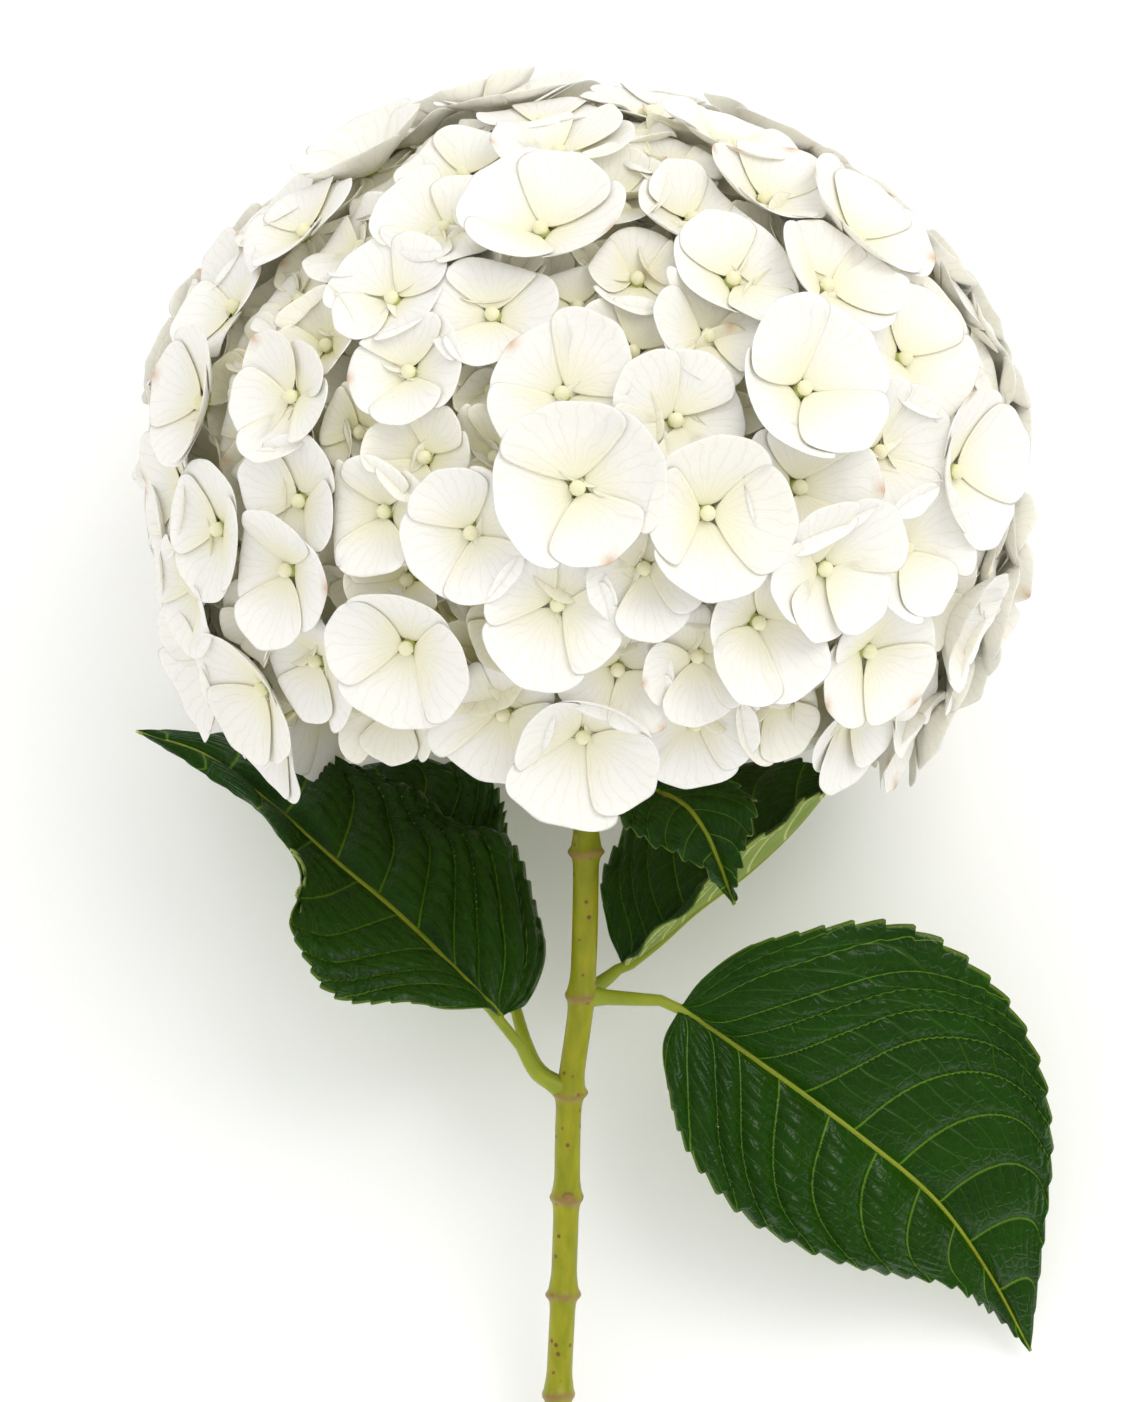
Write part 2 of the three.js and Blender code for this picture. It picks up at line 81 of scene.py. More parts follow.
# Florets listed one by one for the outer side of the head: right, up, width.
OUTER_FLORETS = [
    (-1, -8, 30), (24, -13, 29), (-4, 10, 27), (18, 5, 27), (-22, -17, 25), (-5, -31, 25),
    (12, -24, 24), (7, -45, 22), (23, -42, 23), (-35, -40, 26), (-16, -54, 24), (0, -58, 26),
    (-40, -13, 22), (-14, -36, 17), (-18, -2, 18), (-32, -2, 20), (-35, 15, 22), (-19, 12, 15),
    (-18, 26, 24), (11, 34, 21), (-1, 28, 21), (10, 19, 21), (25, 22, 23), (30, 33, 25),
    (43, 11, 29), (42, -8, 29), (47, -24, 30), (35, -35, 25), (-57, -11, 25), (-59, 10, 24),
    (-60, -25, 25), (-55, -44, 23), (-46, 3, 18), (-53, 21, 20), (-46, 41, 22), (-28, 44, 24),
    (23, -57, 22), (56, -56, 25), (-36, -27, 19), (-23, -28, 15), (39, -53, 20), (-39, -54, 20),
]

STEM_LINE = [
    (0.6, CROWN_LEVEL - 4, 0), (0.7, -91, 0), (-0.2, -123.6, 0), (-2.9, -146, 0), (-3.6, -169.7, 0),
    (-4.4, -191.7, 0), (-5.5, -214.6, 0), (-6.6, -STEM_LENGTH, 0),
]


# Each leaf: the point of the stem's axis that it springs from, the rest of its stalk, then the
# midrib and the two margins of its blade; the number of side veins and of teeth along each margin;
# and how far forward the side veins of the left and right halves sweep, as a share of the length.
LEAVES = {
    "leaf_lower_right": {
        "from": STEM_LINE[2], "veins": 9, "teeth": 27, "slant": (0.60, 0.42),
        "stalk": [(9.7, -123.9, 2), (17.5, -124.2, 3), (24, -127.2, 3)],
        "midrib": [(22, -125.8, 3), (40, -138.2, 4.5), (62.5, -155, 3), (80.4, -170.8, -2),
                   (92, -187, -7), (103.4, -208, -14)],
        "left": [(22, -125.8, 3), (27, -118.6, 6), (38, -110.8, 10), (54, -106.6, 13),
                 (74, -107.4, 12), (91, -119.5, 9), (102.4, -138.5, 5), (105.8, -160, 1),
                 (104.6, -182, -6), (103.4, -208, -14)],
        "right": [(22, -125.8, 3), (18.2, -133, 6), (19.1, -143.8, 9), (24.3, -157.3, 10),
                  (35.5, -170.8, 9), (53.5, -181, 6), (70, -186.5, 1), (84.9, -190.5, -4),
                  (94.5, -198, -10), (103.4, -208, -14)],
    },
    "leaf_lower_left": {
        "from": STEM_LINE[3], "veins": 8, "teeth": 27, "slant": (0.40, 0.62),
        "stalk": [(-10.5, -140.8, 2), (-14, -134.6, 3), (-19.4, -126.2, 2)],
        "midrib": [(-18, -127.6, 3), (-29, -117, 0), (-42.5, -105, -7), (-56, -95, -16),
                   (-72, -82.5, -27), (-88.5, -71.5, -36), (-105.4, -66.8, -43)],
        "left": [(-18, -127.6, 3), (-22.9, -125.6, 9), (-34, -123.4, 14), (-47, -122.9, 15),
                 (-58, -118.8, 13), (-64.2, -109, 8), (-64.2, -98, -4), (-72.5, -86, -19),
                 (-87.5, -76.5, -33), (-105.4, -66.8, -43)],
        "right": [(-18, -127.6, 3), (-12.4, -125.6, -3), (-8.8, -117, -11), (-10.6, -106, -17),
                  (-14.2, -96.5, -23), (-20, -89.5, -27), (-31, -86.5, -30), (-40, -80.5, -35),
                  (-52, -75, -39), (-72, -69.5, -42), (-91, -66.8, -44), (-105.4, -66.8, -43)],
    },
    "leaf_back_left": {
        "from": STEM_LINE[3], "veins": 7, "teeth": 18, "slant": (0.50, 0.50),
        "stalk": [(-10.2, -141, -5), (-13, -135.5, -8), (-15.8, -127, -14), (-17.5, -113, -24)],
        "midrib": [(-15.8, -115, -23), (-26, -104, -31), (-38, -94, -38), (-52, -86, -44),
                   (-66, -81.5, -49)],
        "left": [(-15.8, -115, -23), (-22, -112, -20), (-34, -106, -24), (-48, -98, -32),
                 (-60, -89, -42), (-66, -81.5, -49)],
        "right": [(-15.8, -115, -23), (-13.6, -107, -30), (-15.5, -98, -36), (-18.5, -90, -40),
                  (-19.6, -84, -43), (-23.5, -77.5, -46), (-36, -74.5, -49), (-52, -76, -51),
                  (-66, -81.5, -49)],
    },
    "leaf_folded_right": {
        "from": STEM_LINE[2], "veins": 7, "teeth": 18, "slant": (0.45, 0.45),
        "stalk": [(5.2, -120.6, -5.4), (8, -118.6, -7.4), (13, -114.6, -7.5)],
        "midrib": [(9, -117.8, -8), (18, -110.9, -7), (25.2, -104.6, -6.5), (37.5, -95.5, -7),
                   (48, -86, -9), (57.5, -75, -12)],
        "left": [(9, -117.8, -8), (5.8, -110, -12), (4.4, -102.5, -17), (7.2, -93, -23),
                 (13.5, -84.5, -27), (24, -77.5, -29), (38, -73.5, -27), (50, -72.5, -20),
                 (57.5, -75, -12)],
        "right": [(9, -117.8, -8), (13, -112.5, -1), (21.5, -104.6, 4), (29, -97, 5), (34.5, -91.8, 5),
                  (44, -84.2, 2), (51.5, -79, -3), (57.5, -75, -12)],
    },
    "leaf_small_hanging": {
        "from": (0.6, -82, 0), "veins": 6, "teeth": 11, "slant": (0.35, 0.35),
        "stalk": [(6, -78.2, 8), (9.5, -76, 13), (15, -75, 18)],
        "midrib": [(12, -75, 16), (18, -76, 20), (22.6, -78.2, 23), (27, -84, 25), (30.2, -91.6, 25),
                   (33.2, -100, 24)],
        "left": [(12, -75, 16), (20, -73.2, 16), (30, -73, 18), (36.5, -76.5, 21), (36.8, -82, 24),
                 (34.6, -87.5, 26), (33.4, -93.5, 26), (33.2, -100, 24)],
        "right": [(12, -75, 16), (8, -76.8, 19), (8.3, -81, 23), (12.5, -84.2, 26), (18, -86.9, 28),
                  (23, -89.3, 28), (27.5, -92.8, 27), (33.2, -100, 24)],
    },
}


# ---- The lying pose ---------------------------------------------------------------------------

def turn_down(points):
    """Directions of the plant turned to the way it lies."""
    points = np.asarray(points, float)
    right, up, out = points[..., 0], points[..., 1], points[..., 2]
    sin, cos = math.sin(TILT), math.cos(TILT)
    return np.stack([right, up * cos - out * sin, up * sin + out * cos], axis=-1)


def lay(points):
    """Places of the plant (right, up, out from the head's middle) to where they lie."""
    return turn_down(points) + np.array([0.0, 0.0, HEAD_RISE])


def unit(vector):
    return vector / np.linalg.norm(vector)


def smooth_line(points, count):
    """A centripetal curve through points, sampled evenly by point number."""
    points = np.asarray(points, float)
    first = 2 * points[0] - points[1]
    last = 2 * points[-1] - points[-2]
    padded = np.vstack([first, points, last])
    steps = len(points) - 1
    result = []
    for place in np.linspace(0, steps, count):
        index = min(int(place), steps - 1)
        weight = place - index
        p0, p1, p2, p3 = padded[index:index + 4]
        gaps = [max(np.linalg.norm(b - a) ** 0.5, 1e-4) for a, b in ((p0, p1), (p1, p2), (p2, p3))]
        start = ((p1 - p0) / gaps[0] - (p2 - p0) / (gaps[0] + gaps[1]) + (p2 - p1) / gaps[1]) * gaps[1]
        end = ((p2 - p1) / gaps[1] - (p3 - p1) / (gaps[1] + gaps[2]) + (p3 - p2) / gaps[2]) * gaps[1]
        cubic = 2 * p1 - 2 * p2 + start + end
        square = -3 * p1 + 3 * p2 - 2 * start - end
        result.append(p1 + start * weight + square * weight ** 2 + cubic * weight ** 3)
    return np.array(result)


# ---- Where the florets sit: the same working as the solid model's ------------------------------

def dome_shape(level):
    return (DOME_HEIGHT, DOME_ROUNDNESS) if level >= 0 else (SKIRT_DEPTH, SKIRT_ROUNDNESS)


def dome_radius(level):
    depth, power = dome_shape(level)
    share = min(abs(level) / depth, 1)
    return HEAD_RADIUS * (1 - share ** power) ** (1 / power)


def onto_dome(point):
    depth, power = dome_shape(point[1])
    flat = math.hypot(point[0], point[2])
    size = ((flat / HEAD_RADIUS) ** power + (abs(point[1]) / depth) ** power) ** (1 / power)
    point = point / size
    if point[1] < -SKIRT_END:
        spread = dome_radius(-SKIRT_END) / max(math.hypot(point[0], point[2]), 1)
        point = np.array([point[0] * spread, -SKIRT_END, point[2] * spread])
    return point


def dome_normal(point):
    depth, power = dome_shape(point[1])
    flat = math.hypot(point[0], point[2])
    side = (flat / HEAD_RADIUS) ** (power - 1) / HEAD_RADIUS
    rise = math.copysign((abs(point[1]) / depth) ** (power - 1) / depth, point[1])
    return unit(np.array([side * point[0] / flat, rise, side * point[2] / flat]))


def start_florets():
    """The listed florets, one to lie flat under the head, and an even spread for the rest."""
    spots = [np.array([right, up, math.sqrt(dome_radius(up) ** 2 - right ** 2)])
             for right, up, _ in OUTER_FLORETS]
    widths = [width for _, _, width in OUTER_FLORETS]
    spots.append(onto_dome(HEAD_RISE * np.array([0, -math.sin(TILT), -math.cos(TILT)])))
    widths.append(FLORET_WIDTH + FLORET_SPREAD / 3)
    fixed = len(spots)
    room = FLORET_ROOM * FLORET_SPACING
    for i in range(FLORET_SPOTS):
        level = DOME_HEIGHT - (DOME_HEIGHT + SKIRT_END) * (i + 0.5) / FLORET_SPOTS
        turn = 2 * math.pi * ((i * GOLDEN) % 1)
        reach = max(dome_radius(level), 1)
        spot = onto_dome(np.array([math.sin(turn) * reach, level, math.cos(turn) * reach]))
        width = FLORET_WIDTH + FLORET_SPREAD * (((i * 7 * GOLDEN) % 1) - 0.5)
        if all(np.linalg.norm(spots[k] - spot) > room * (widths[k] + width) / 2 for k in range(fixed)):
            spots.append(spot)
            widths.append(width)
    return np.array(spots), np.array(widths), fixed


def spread_florets(spots, widths, fixed):
    """Neighbours push each other apart until they are evenly packed over the dome."""
    wanted = FLORET_SPACING * (widths[:, None] + widths[None, :]) / 2
    for _ in range(SPREAD_ROUNDS):
        apart = spots[:, None, :] - spots[None, :, :]
        distance = np.linalg.norm(apart, axis=2)
        np.fill_diagonal(distance, np.inf)
        lack = np.maximum(wanted - distance, 0)
        push = (apart * (0.4 * lack / distance)[:, :, None]).sum(axis=1)
        for i in range(fixed, len(spots)):
            spots[i] = onto_dome(spots[i] + push[i])
    return spots, widths


class Floret:
    """A floret: its middle, the way it faces, its width, and how high it stands in the head."""

    def __init__(self, spot, width):
        facing = dome_normal(spot)
        self.width = width
        self.proud = (width - FLORET_WIDTH) * DEPTH_BY_WIDTH
        self.level = spot[1]
        at = spot + facing * self.proud
        self.middle = lay(at)
        self.axis = turn_down(facing)
        self.axis[2] /= max(1 / (1 + math.exp(-(self.middle[2] - PRESSED_LEVEL) / FLOOR_SOFTNESS)), 0.02)
        rise = (self.middle[2] - PRESSED_LEVEL) / FLOOR_SOFTNESS
        self.middle[2] = PRESSED_LEVEL + FLOOR_SOFTNESS * math.log1p(math.exp(rise))
        self.axis = unit(self.axis)
        self.pressed = self.middle[2] < PRESSED_LIMIT
        if self.pressed:
            self.middle[2] = 0
            self.axis = np.array([0.0, 0.0, -1.0])
        self.outward = turn_down(unit(np.array([spot[0], 0, spot[2]])))


def share_out(directions, count):
    """Shares directions out to groups, so that each group keeps to its own cone."""
    directions = np.asarray(directions)
    middles = [directions[0]]
    while len(middles) < count:
        nearest = np.max(directions @ np.array(middles).T, axis=1)
        middles.append(directions[int(np.argmin(nearest))])
    middles = np.array(middles)
    for _ in range(8):
        owner = np.argmax(directions @ middles.T, axis=1)
        middles = np.array([unit(directions[owner == k].sum(axis=0)) if (owner == k).any() else middles[k]
                            for k in range(count)])
    groups = [np.flatnonzero(owner == k) for k in range(count)]
    return [group for group in groups if len(group)]


CROWN = lay([0.6, CROWN_LEVEL, 0])
FLORETS = [Floret(spot, width) for spot, width in zip(*spread_florets(*start_florets()))]
SPRIGS = share_out([unit(floret.middle - CROWN) for floret in FLORETS], CLUSTERS)


def sprig_fork(group):
    fork = CROWN + HUB_DEPTH * (np.mean([FLORETS[i].middle for i in group], axis=0) - CROWN)
    fork[2] = max(fork[2], HUB_RADIUS + 3)
    return fork


FORKS = [sprig_fork(group) for group in SPRIGS]


# ---- Helpers for pieces and materials ---------------------------------------------------------

def srgb(code):
    """A hex colour as the linear values that shaders take."""
    levels = [int(code[i:i + 2], 16) / 255 for i in (1, 3, 5)]
    return tuple(c / 12.92 if c <= 0.04045 else ((c + 0.055) / 1.055) ** 2.4 for c in levels) + (1.0,)


def node(tree, kind, settings=None, **links):
    """Adds a shader node with its settings and inputs; an input given as a socket is linked to it."""
    made = tree.nodes.new(kind)
    for name, value in (settings or {}).items():
        setattr(made, name, value)
    for name, value in links.items():
        key = int(name[1:]) if name[0] == "i" and name[1:].isdigit() else name.replace("_", " ")
        socket = made.inputs[key]
        if isinstance(value, bpy.types.NodeSocket):
            tree.links.new(value, socket)
        else:
            socket.default_value = value
    return made


def new_material(name):
    """A material with its node tree and its shader, ready to be wired."""
    material = bpy.data.materials.new(name)
    material.use_nodes = True
    tree = material.node_tree
    return material, tree, tree.nodes["Principled BSDF"]


def new_piece(name, mesh, materials, smooth=True):
    """Puts a finished mesh, made in millimetres, into the scene in metres."""
    mesh.transform(Matrix.Scale(MM, 4))
    piece = bpy.data.objects.new(name, mesh)
    bpy.context.scene.collection.objects.link(piece)
    for material in materials:
        mesh.materials.append(material)
    if smooth:
        mesh.shade_smooth()
    return piece


def mesh_from(shape, name):
    """Turns a finished bmesh into a mesh."""
    mesh = bpy.data.meshes.new(name)
    shape.to_mesh(mesh)
    shape.free()
    return mesh


def tubes(lines, sides):
    """A mesh of round tubes, each a list of points and a list of radii."""
    curve = bpy.data.curves.new("lines", "CURVE")
    curve.dimensions = "3D"
    curve.bevel_depth = 1
    curve.bevel_resolution = max((sides - 4) // 2, 0)
    curve.use_fill_caps = True
    for points, radii in lines:
        spline = curve.splines.new("POLY")
        spline.points.add(len(points) - 1)
        for target, point, radius in zip(spline.points, points, radii):
            target.co = (*point, 1)
            target.radius = radius
    holder = bpy.data.objects.new("lines", curve)
    bpy.context.scene.collection.objects.link(holder)
    mesh = bpy.data.meshes.new_from_object(holder.evaluated_get(bpy.context.evaluated_depsgraph_get()))
    bpy.data.objects.remove(holder)
    bpy.data.curves.remove(curve)
    return mesh


# ---- Materials of the florets -----------------------------------------------------------------

def sepal_material():
    """Thin ivory-white sepal: satin, lets some light through, a fan of faint veins from its base."""
    material, tree, shader = new_material("Ivory sepal tissue")
    place = node(tree, "ShaderNodeAttribute", {"attribute_name": "place"})
    parts = node(tree, "ShaderNodeSeparateXYZ", i0=place.outputs["Vector"])
    across, along, shade = parts.outputs
    green_and_depth_shade = node(tree, "ShaderNodeAttribute", {"attribute_name": "green_and_depth_shade"}).outputs["Fac"]
    # Fan of veins: lines of even angle, seen from a point just behind the sepal's base.
    reach = node(tree, "ShaderNodeMath", {"operation": "ADD"}, i0=along, i1=0.12)
    angle = node(tree, "ShaderNodeMath", {"operation": "ARCTAN2"}, i0=across, i1=reach.outputs[0])
    wobble = node(tree, "ShaderNodeTexNoise", {"noise_dimensions": "3D"},
                  Vector=place.outputs["Vector"], Scale=2.6, Detail=2.0)
    bend = node(tree, "ShaderNodeMath", {"operation": "MULTIPLY_ADD"},
                i0=wobble.outputs["Fac"], i1=0.5, i2=angle.outputs[0])
    fan = node(tree, "ShaderNodeMath", {"operation": "PINGPONG"}, i0=bend.outputs[0], i1=0.13)
    vein = node(tree, "ShaderNodeMapRange", {"interpolation_type": "SMOOTHSTEP"},
                Value=fan.outputs[0], From_Min=0.0, From_Max=0.035, To_Min=1.0, To_Max=0.0)
    cells = node(tree, "ShaderNodeTexVoronoi", {"feature": "DISTANCE_TO_EDGE"},
                 Vector=place.outputs["Vector"], Scale=9.0)
    net = node(tree, "ShaderNodeMapRange", {}, Value=cells.outputs["Distance"],
               From_Min=0.0, From_Max=0.05, To_Min=0.45, To_Max=0.0)
    lines = node(tree, "ShaderNodeMath", {"operation": "MAXIMUM"}, i0=vein.outputs[0], i1=net.outputs[0])
    # Cream-green near the base and on young, sunken florets: partly the sepals' own greenish base, partly
    # painted shade of the cup's depth and of the sunken places. Ivory white further out.
    base = node(tree, "ShaderNodeMapRange", {"interpolation_type": "SMOOTHSTEP"},
                Value=along, From_Min=0.02, From_Max=0.62, To_Min=1.0, To_Max=0.0)
    green = node(tree, "ShaderNodeMath", {"operation": "MULTIPLY_ADD", "use_clamp": True},
                 i0=base.outputs[0], i1=0.6, i2=green_and_depth_shade)
    body = node(tree, "ShaderNodeMix", {"data_type": "RGBA"}, i0=green.outputs[0],
                i6=srgb("#f2f0ea"), i7=srgb("#ece6b4"))
    strength = node(tree, "ShaderNodeMath", {"operation": "MULTIPLY"}, i0=lines.outputs[0], i1=0.2)
    colour = node(tree, "ShaderNodeMix", {"data_type": "RGBA"}, i0=strength.outputs[0],
                  i6=body.outputs[2], i7=srgb("#cfc8a4"))
    tip = node(tree, "ShaderNodeMapRange", {}, Value=shade, From_Min=0.0, From_Max=1.0,
               To_Min=0.0, To_Max=0.8)
    final = node(tree, "ShaderNodeMix", {"data_type": "RGBA"}, i0=tip.outputs[0],
                 i6=colour.outputs[2], i7=srgb("#c79a72"))
    tree.links.new(final.outputs[2], shader.inputs["Base Color"])
    height = node(tree, "ShaderNodeMath", {"operation": "SUBTRACT"}, i0=1.0, i1=lines.outputs[0])
    bump = node(tree, "ShaderNodeBump", {}, Strength=0.22, Distance=0.0002, Height=height.outputs[0])
    tree.links.new(bump.outputs[0], shader.inputs["Normal"])
    shader.inputs["Roughness"].default_value = 0.62
    shader.inputs["Specular IOR Level"].default_value = 0.3
    shader.inputs["Subsurface Weight"].default_value = 0.2
    shader.inputs["Subsurface Radius"].default_value = (1.0, 0.93, 0.75)
    shader.inputs["Subsurface Scale"].default_value = 0.0015
    return material


def mottled_material(name, light, dark, roughness, scale):
    """Soft living tissue: two close colours in soft patches a few millimetres across."""
    material, tree, shader = new_material(name)
    coords = node(tree, "ShaderNodeTexCoord")
    patches = node(tree, "ShaderNodeTexNoise", {}, Vector=coords.outputs["Object"], Scale=scale, Detail=3.0)
    colour = node(tree, "ShaderNodeMix", {"data_type": "RGBA"}, i0=patches.outputs["Fac"],
                  i6=srgb(light), i7=srgb(dark))
    tree.links.new(colour.outputs[2], shader.inputs["Base Color"])
    bump = node(tree, "ShaderNodeBump", {}, Strength=0.2, Distance=0.0002, Height=patches.outputs["Fac"])
    tree.links.new(bump.outputs[0], shader.inputs["Normal"])
    shader.inputs["Roughness"].default_value = roughness
    shader.inputs["Subsurface Weight"].default_value = 0.2
    shader.inputs["Subsurface Scale"].default_value = 0.002
    return material


SEPAL = sepal_material()
BUD = mottled_material("Unopened bud, cream green", "#f2efd6", "#e0ddac", 0.45, 500)
# The calyx's green is partly its own colour and partly painted shade of the gaps between the sepals' bases.
CALYX_AND_GAP_SHADE = mottled_material("Green calyx and painted gap shade", "#b9bd62", "#98a045", 0.55, 400)
PEDICEL = mottled_material("Pale green pedicel", "#f4efc4", "#e6e2a6", 0.5, 250)

# ---- Florets ----------------------------------------------------------------------------------

SEPAL_DIVISIONS = 6
SEPAL_THICKNESS = 0.32
BUD_RADIUS = 1.4
CALYX_DEPTH = 1.2
PRESSED_CENTRE = 2.8              # the level of a pressed floret's middle
FIVE_SEPALS = 0.07                # share of florets with five sepals instead of four
BROWN_TIPS = 0.12                 # share of sepals with a brown fleck at the tip

# Sunken florets: the least room round one's middle, the least distance between two, the least
# level, and the widths and depths they are drawn from.
GAP_ROOM = 2.4
GAP_SPACING = 10
GAP_LEVEL = 14
GAP_WIDTHS = (15, 19)
GAP_DEPTHS = (5, 6.5)


def soft_excess(value, softness):
    """Zero below nothing and the value itself well above, with a soft bend between."""
    return softness * np.logaddexp(0, value / softness)


def crowd(points, index):
    """Presses a floret's sepals back where neighbours stand, and lifts them there like packed bowls."""
    floret = FLORETS[index]
    lift = np.zeros(len(points))
    for other in NEIGHBOURS[index]:
        towards = FLORETS[other].middle - floret.middle
        distance = np.linalg.norm(towards)
        towards = towards / distance
        share = floret.width / (floret.width + FLORETS[other].width)
        above = math.tanh(STANDING[index] - STANDING[other])
        past = (points - floret.middle) @ towards - distance * share - 0.8 * above
        excess = soft_excess(past, 1.0)
        squeeze = 0.45 - 0.2 * above
        points = points - np.outer(squeeze * excess, towards)
        lift += (0.3 * above - 0.3 * (above < 0) + 0.15 * (1 - abs(above))) * excess
    return points + np.outer(np.clip(lift, -5, 3), floret.axis)


def floret_frame(floret, yaw):
    """Two directions across a floret, turned about its axis by an angle."""
    side = np.cross([0.0, 0.0, 1.0], floret.axis)
    if np.linalg.norm(side) < 0.1:
        side = np.array([1.0, 0.0, 0.0])
    side = unit(side)
    other = np.cross(floret.axis, side)
    return (side * math.cos(yaw) + other * math.sin(yaw), other * math.cos(yaw) - side * math.sin(yaw))


def keep_above_floor(points, least=0.35):
    """Nothing goes below the surface: points near it are pressed gently flat."""
    points[:, 2] = least + soft_excess(points[:, 2] - least, 0.7)
    return points


def sepal_points(across, along, floret, form, which):
    """Places the points of one sepal. across runs from -1 to 1, along from 0 at the base to 1."""
    reach = form["reach"][which]
    half_width = 0.5 * form["breadth"][which] * reach
    waist = 0.30 + 0.70 * np.clip(along / 0.5, 0, 1) ** 0.8
    point = 0.07 * np.exp(-(across / 0.22) ** 2) * np.clip((along - 0.8) / 0.2, 0, 1)
    x = across * half_width * waist * form["wide"][which]
    y = reach * (0.07 + 0.93 * along + point)
    share = np.hypot(x, y) / reach
    bowl = form["cup"] * reach * share ** 1.7
    roll = form["curl"][which] * reach * np.clip(share - 0.62, 0, 1) ** 2
    trough = 0.07 * half_width * (across * waist) ** 2 * form["trough"]
    lean = form["lean"][which] * x
    wave = form["wave"] * reach * np.sin(3.1 * across + form["phase"][which]) * share ** 3
    z = 0.4 + form["layer"][which] + bowl - roll + trough + lean + wave
    turn = form["turns"][which]
    first, second = floret_frame(floret, form["yaw"] + turn)
    return floret.centre + np.outer(x, first) + np.outer(y, second) + np.outer(z, floret.axis)


def make_form(index):
    """The look of one floret: how many sepals, how deep its cup is, and how each one lies."""
    floret = FLORETS[index]
    small = np.clip((22 - floret.width) / 6, 0, 1)
    skirt = np.clip((-34 - floret.level) / 22, 0, 1)
    count = 5 if RNG.random() < FIVE_SEPALS else 4
    spread = 2 * math.pi / count
    radius = 0.5 * floret.width + 2.6
    cup = 0.28 + 0.2 * RNG.random() + 0.25 * small + 0.08 * skirt
    curl = RNG.normal(0.45, 0.3)
    return {
        "turns": [k * spread + RNG.normal(0, 0.06) for k in range(count)],
        "reach": [radius * (1 + 0.04 * skirt) * RNG.normal(1, 0.07) for _ in range(count)],
        "breadth": [(1.42 if count == 4 else 1.16) * RNG.normal(1, 0.05) for _ in range(count)],
        "layer": [0.0 if k % 2 else 0.65 for k in range(count)],
        "wide": [1.1 if k % 2 else 0.95 for k in range(count)],
        "lean": [RNG.normal(0, 0.012) if count == 4 else 0.1 for _ in range(count)],
        "curl": [max(curl + RNG.normal(0, 0.07), 0) * (1 - small) for _ in range(count)],
        "phase": [RNG.uniform(0, 6.28) for _ in range(count)],
        "cup": 0.10 if floret.pressed else cup,
        "trough": 0.4 if floret.pressed else 1.0,
        "wave": RNG.uniform(0.004, 0.018),
        "yaw": RNG.uniform(0, 2 * math.pi),
        # Small and sunken florets get more green: partly their young colour, partly painted shade of how
        # deep they sit.
        "green_and_depth_shade": float(np.clip(0.02 + 0.5 * small + RNG.normal(0, 0.03), 0, 1)),
        "spotted": [RNG.random() < BROWN_TIPS for _ in range(count)],
    }


def prepare_florets():
    """Lets the lower florets face outwards more, and lifts pressed ones just off the surface."""
    for floret in FLORETS:
        floret.centre = floret.middle.copy()
        if floret.pressed:
            floret.centre[2] = PRESSED_CENTRE
            continue
        skirt = np.clip((-30 - floret.level) / 25, 0, 1)
        floret.axis = unit(floret.axis + 0.75 * skirt * floret.outward)


prepare_florets()
NEIGHBOURS = [[j for j, other in enumerate(FLORETS) if j != i
               and np.linalg.norm(other.middle - floret.middle) < 0.62 * (floret.width + other.width) + 4]
              for i, floret in enumerate(FLORETS)]


def gap_florets():
    """Young, small florets sunk in the gaps where three grown ones meet, each in the nearest sprig."""
    owner = {index: number for number, group in enumerate(SPRIGS) for index in group}
    found = []
    for i, near in enumerate(NEIGHBOURS):
        for j in (j for j in near if j > i):
            for k in (k for k in near if k > j and k in NEIGHBOURS[j]):
                corners = [FLORETS[n] for n in (i, j, k)]
                if any(corner.pressed for corner in corners):
                    continue
                middle = np.mean([corner.middle for corner in corners], axis=0)
                away = min(np.linalg.norm(middle - floret.middle) - 0.3 * floret.width for floret in FLORETS)
                found.append((away, i, middle, unit(sum(corner.axis for corner in corners))))
    placed = []
    for away, i, middle, axis in sorted(found, key=lambda item: -item[0]):
        crowded = any(np.linalg.norm(middle - at) < GAP_SPACING for _, at, _ in placed)
        if away >= GAP_ROOM and middle[2] >= GAP_LEVEL and not crowded:
            placed.append((owner[i], middle, axis))
    return placed


def add_gap_florets():
    """Adds the sunken florets to the layout as ordinary ones, deeper and smaller."""
    for number, middle, axis in gap_florets():
        floret = copy.copy(FLORETS[0])
        floret.width = RNG.uniform(*GAP_WIDTHS)
        floret.middle = floret.centre = middle - axis * RNG.uniform(*GAP_DEPTHS)
        floret.axis = axis
        floret.proud, floret.pressed, floret.level = -6.0, False, 0.0
        FLORETS.append(floret)
        NEIGHBOURS.append([])
        SPRIGS[number] = np.append(SPRIGS[number], len(FLORETS) - 1)


add_gap_florets()
STANDING = [floret.proud * 1.2 + RNG.normal(0, 1.2) for floret in FLORETS]


def add_sepal(shape, layers, index, form, which):
    """One sepal, from a square grid rounded into a disc."""
    place, green_and_depth_shade = layers
    made = bmesh.ops.create_grid(shape, x_segments=SEPAL_DIVISIONS, y_segments=SEPAL_DIVISIONS, size=1)
    corners = made["verts"]
    square = np.array([vert.co[:2] for vert in corners])
    across = square[:, 0] * np.sqrt(1 - square[:, 1] ** 2 / 2)
    along = (square[:, 1] * np.sqrt(1 - square[:, 0] ** 2 / 2) + 1) / 2
    points = sepal_points(across, along, FLORETS[index], form, which)
    points = keep_above_floor(crowd(points, index))
    tip = np.exp(-((across / 0.16) ** 2 + ((along - 1) / 0.05) ** 2)) * form["spotted"][which]
    for vert, point, u, v, t in zip(corners, points, across, along, tip):
        vert.co = point
        vert[place] = (u, v, t)
        vert[green_and_depth_shade] = form["green_and_depth_shade"]


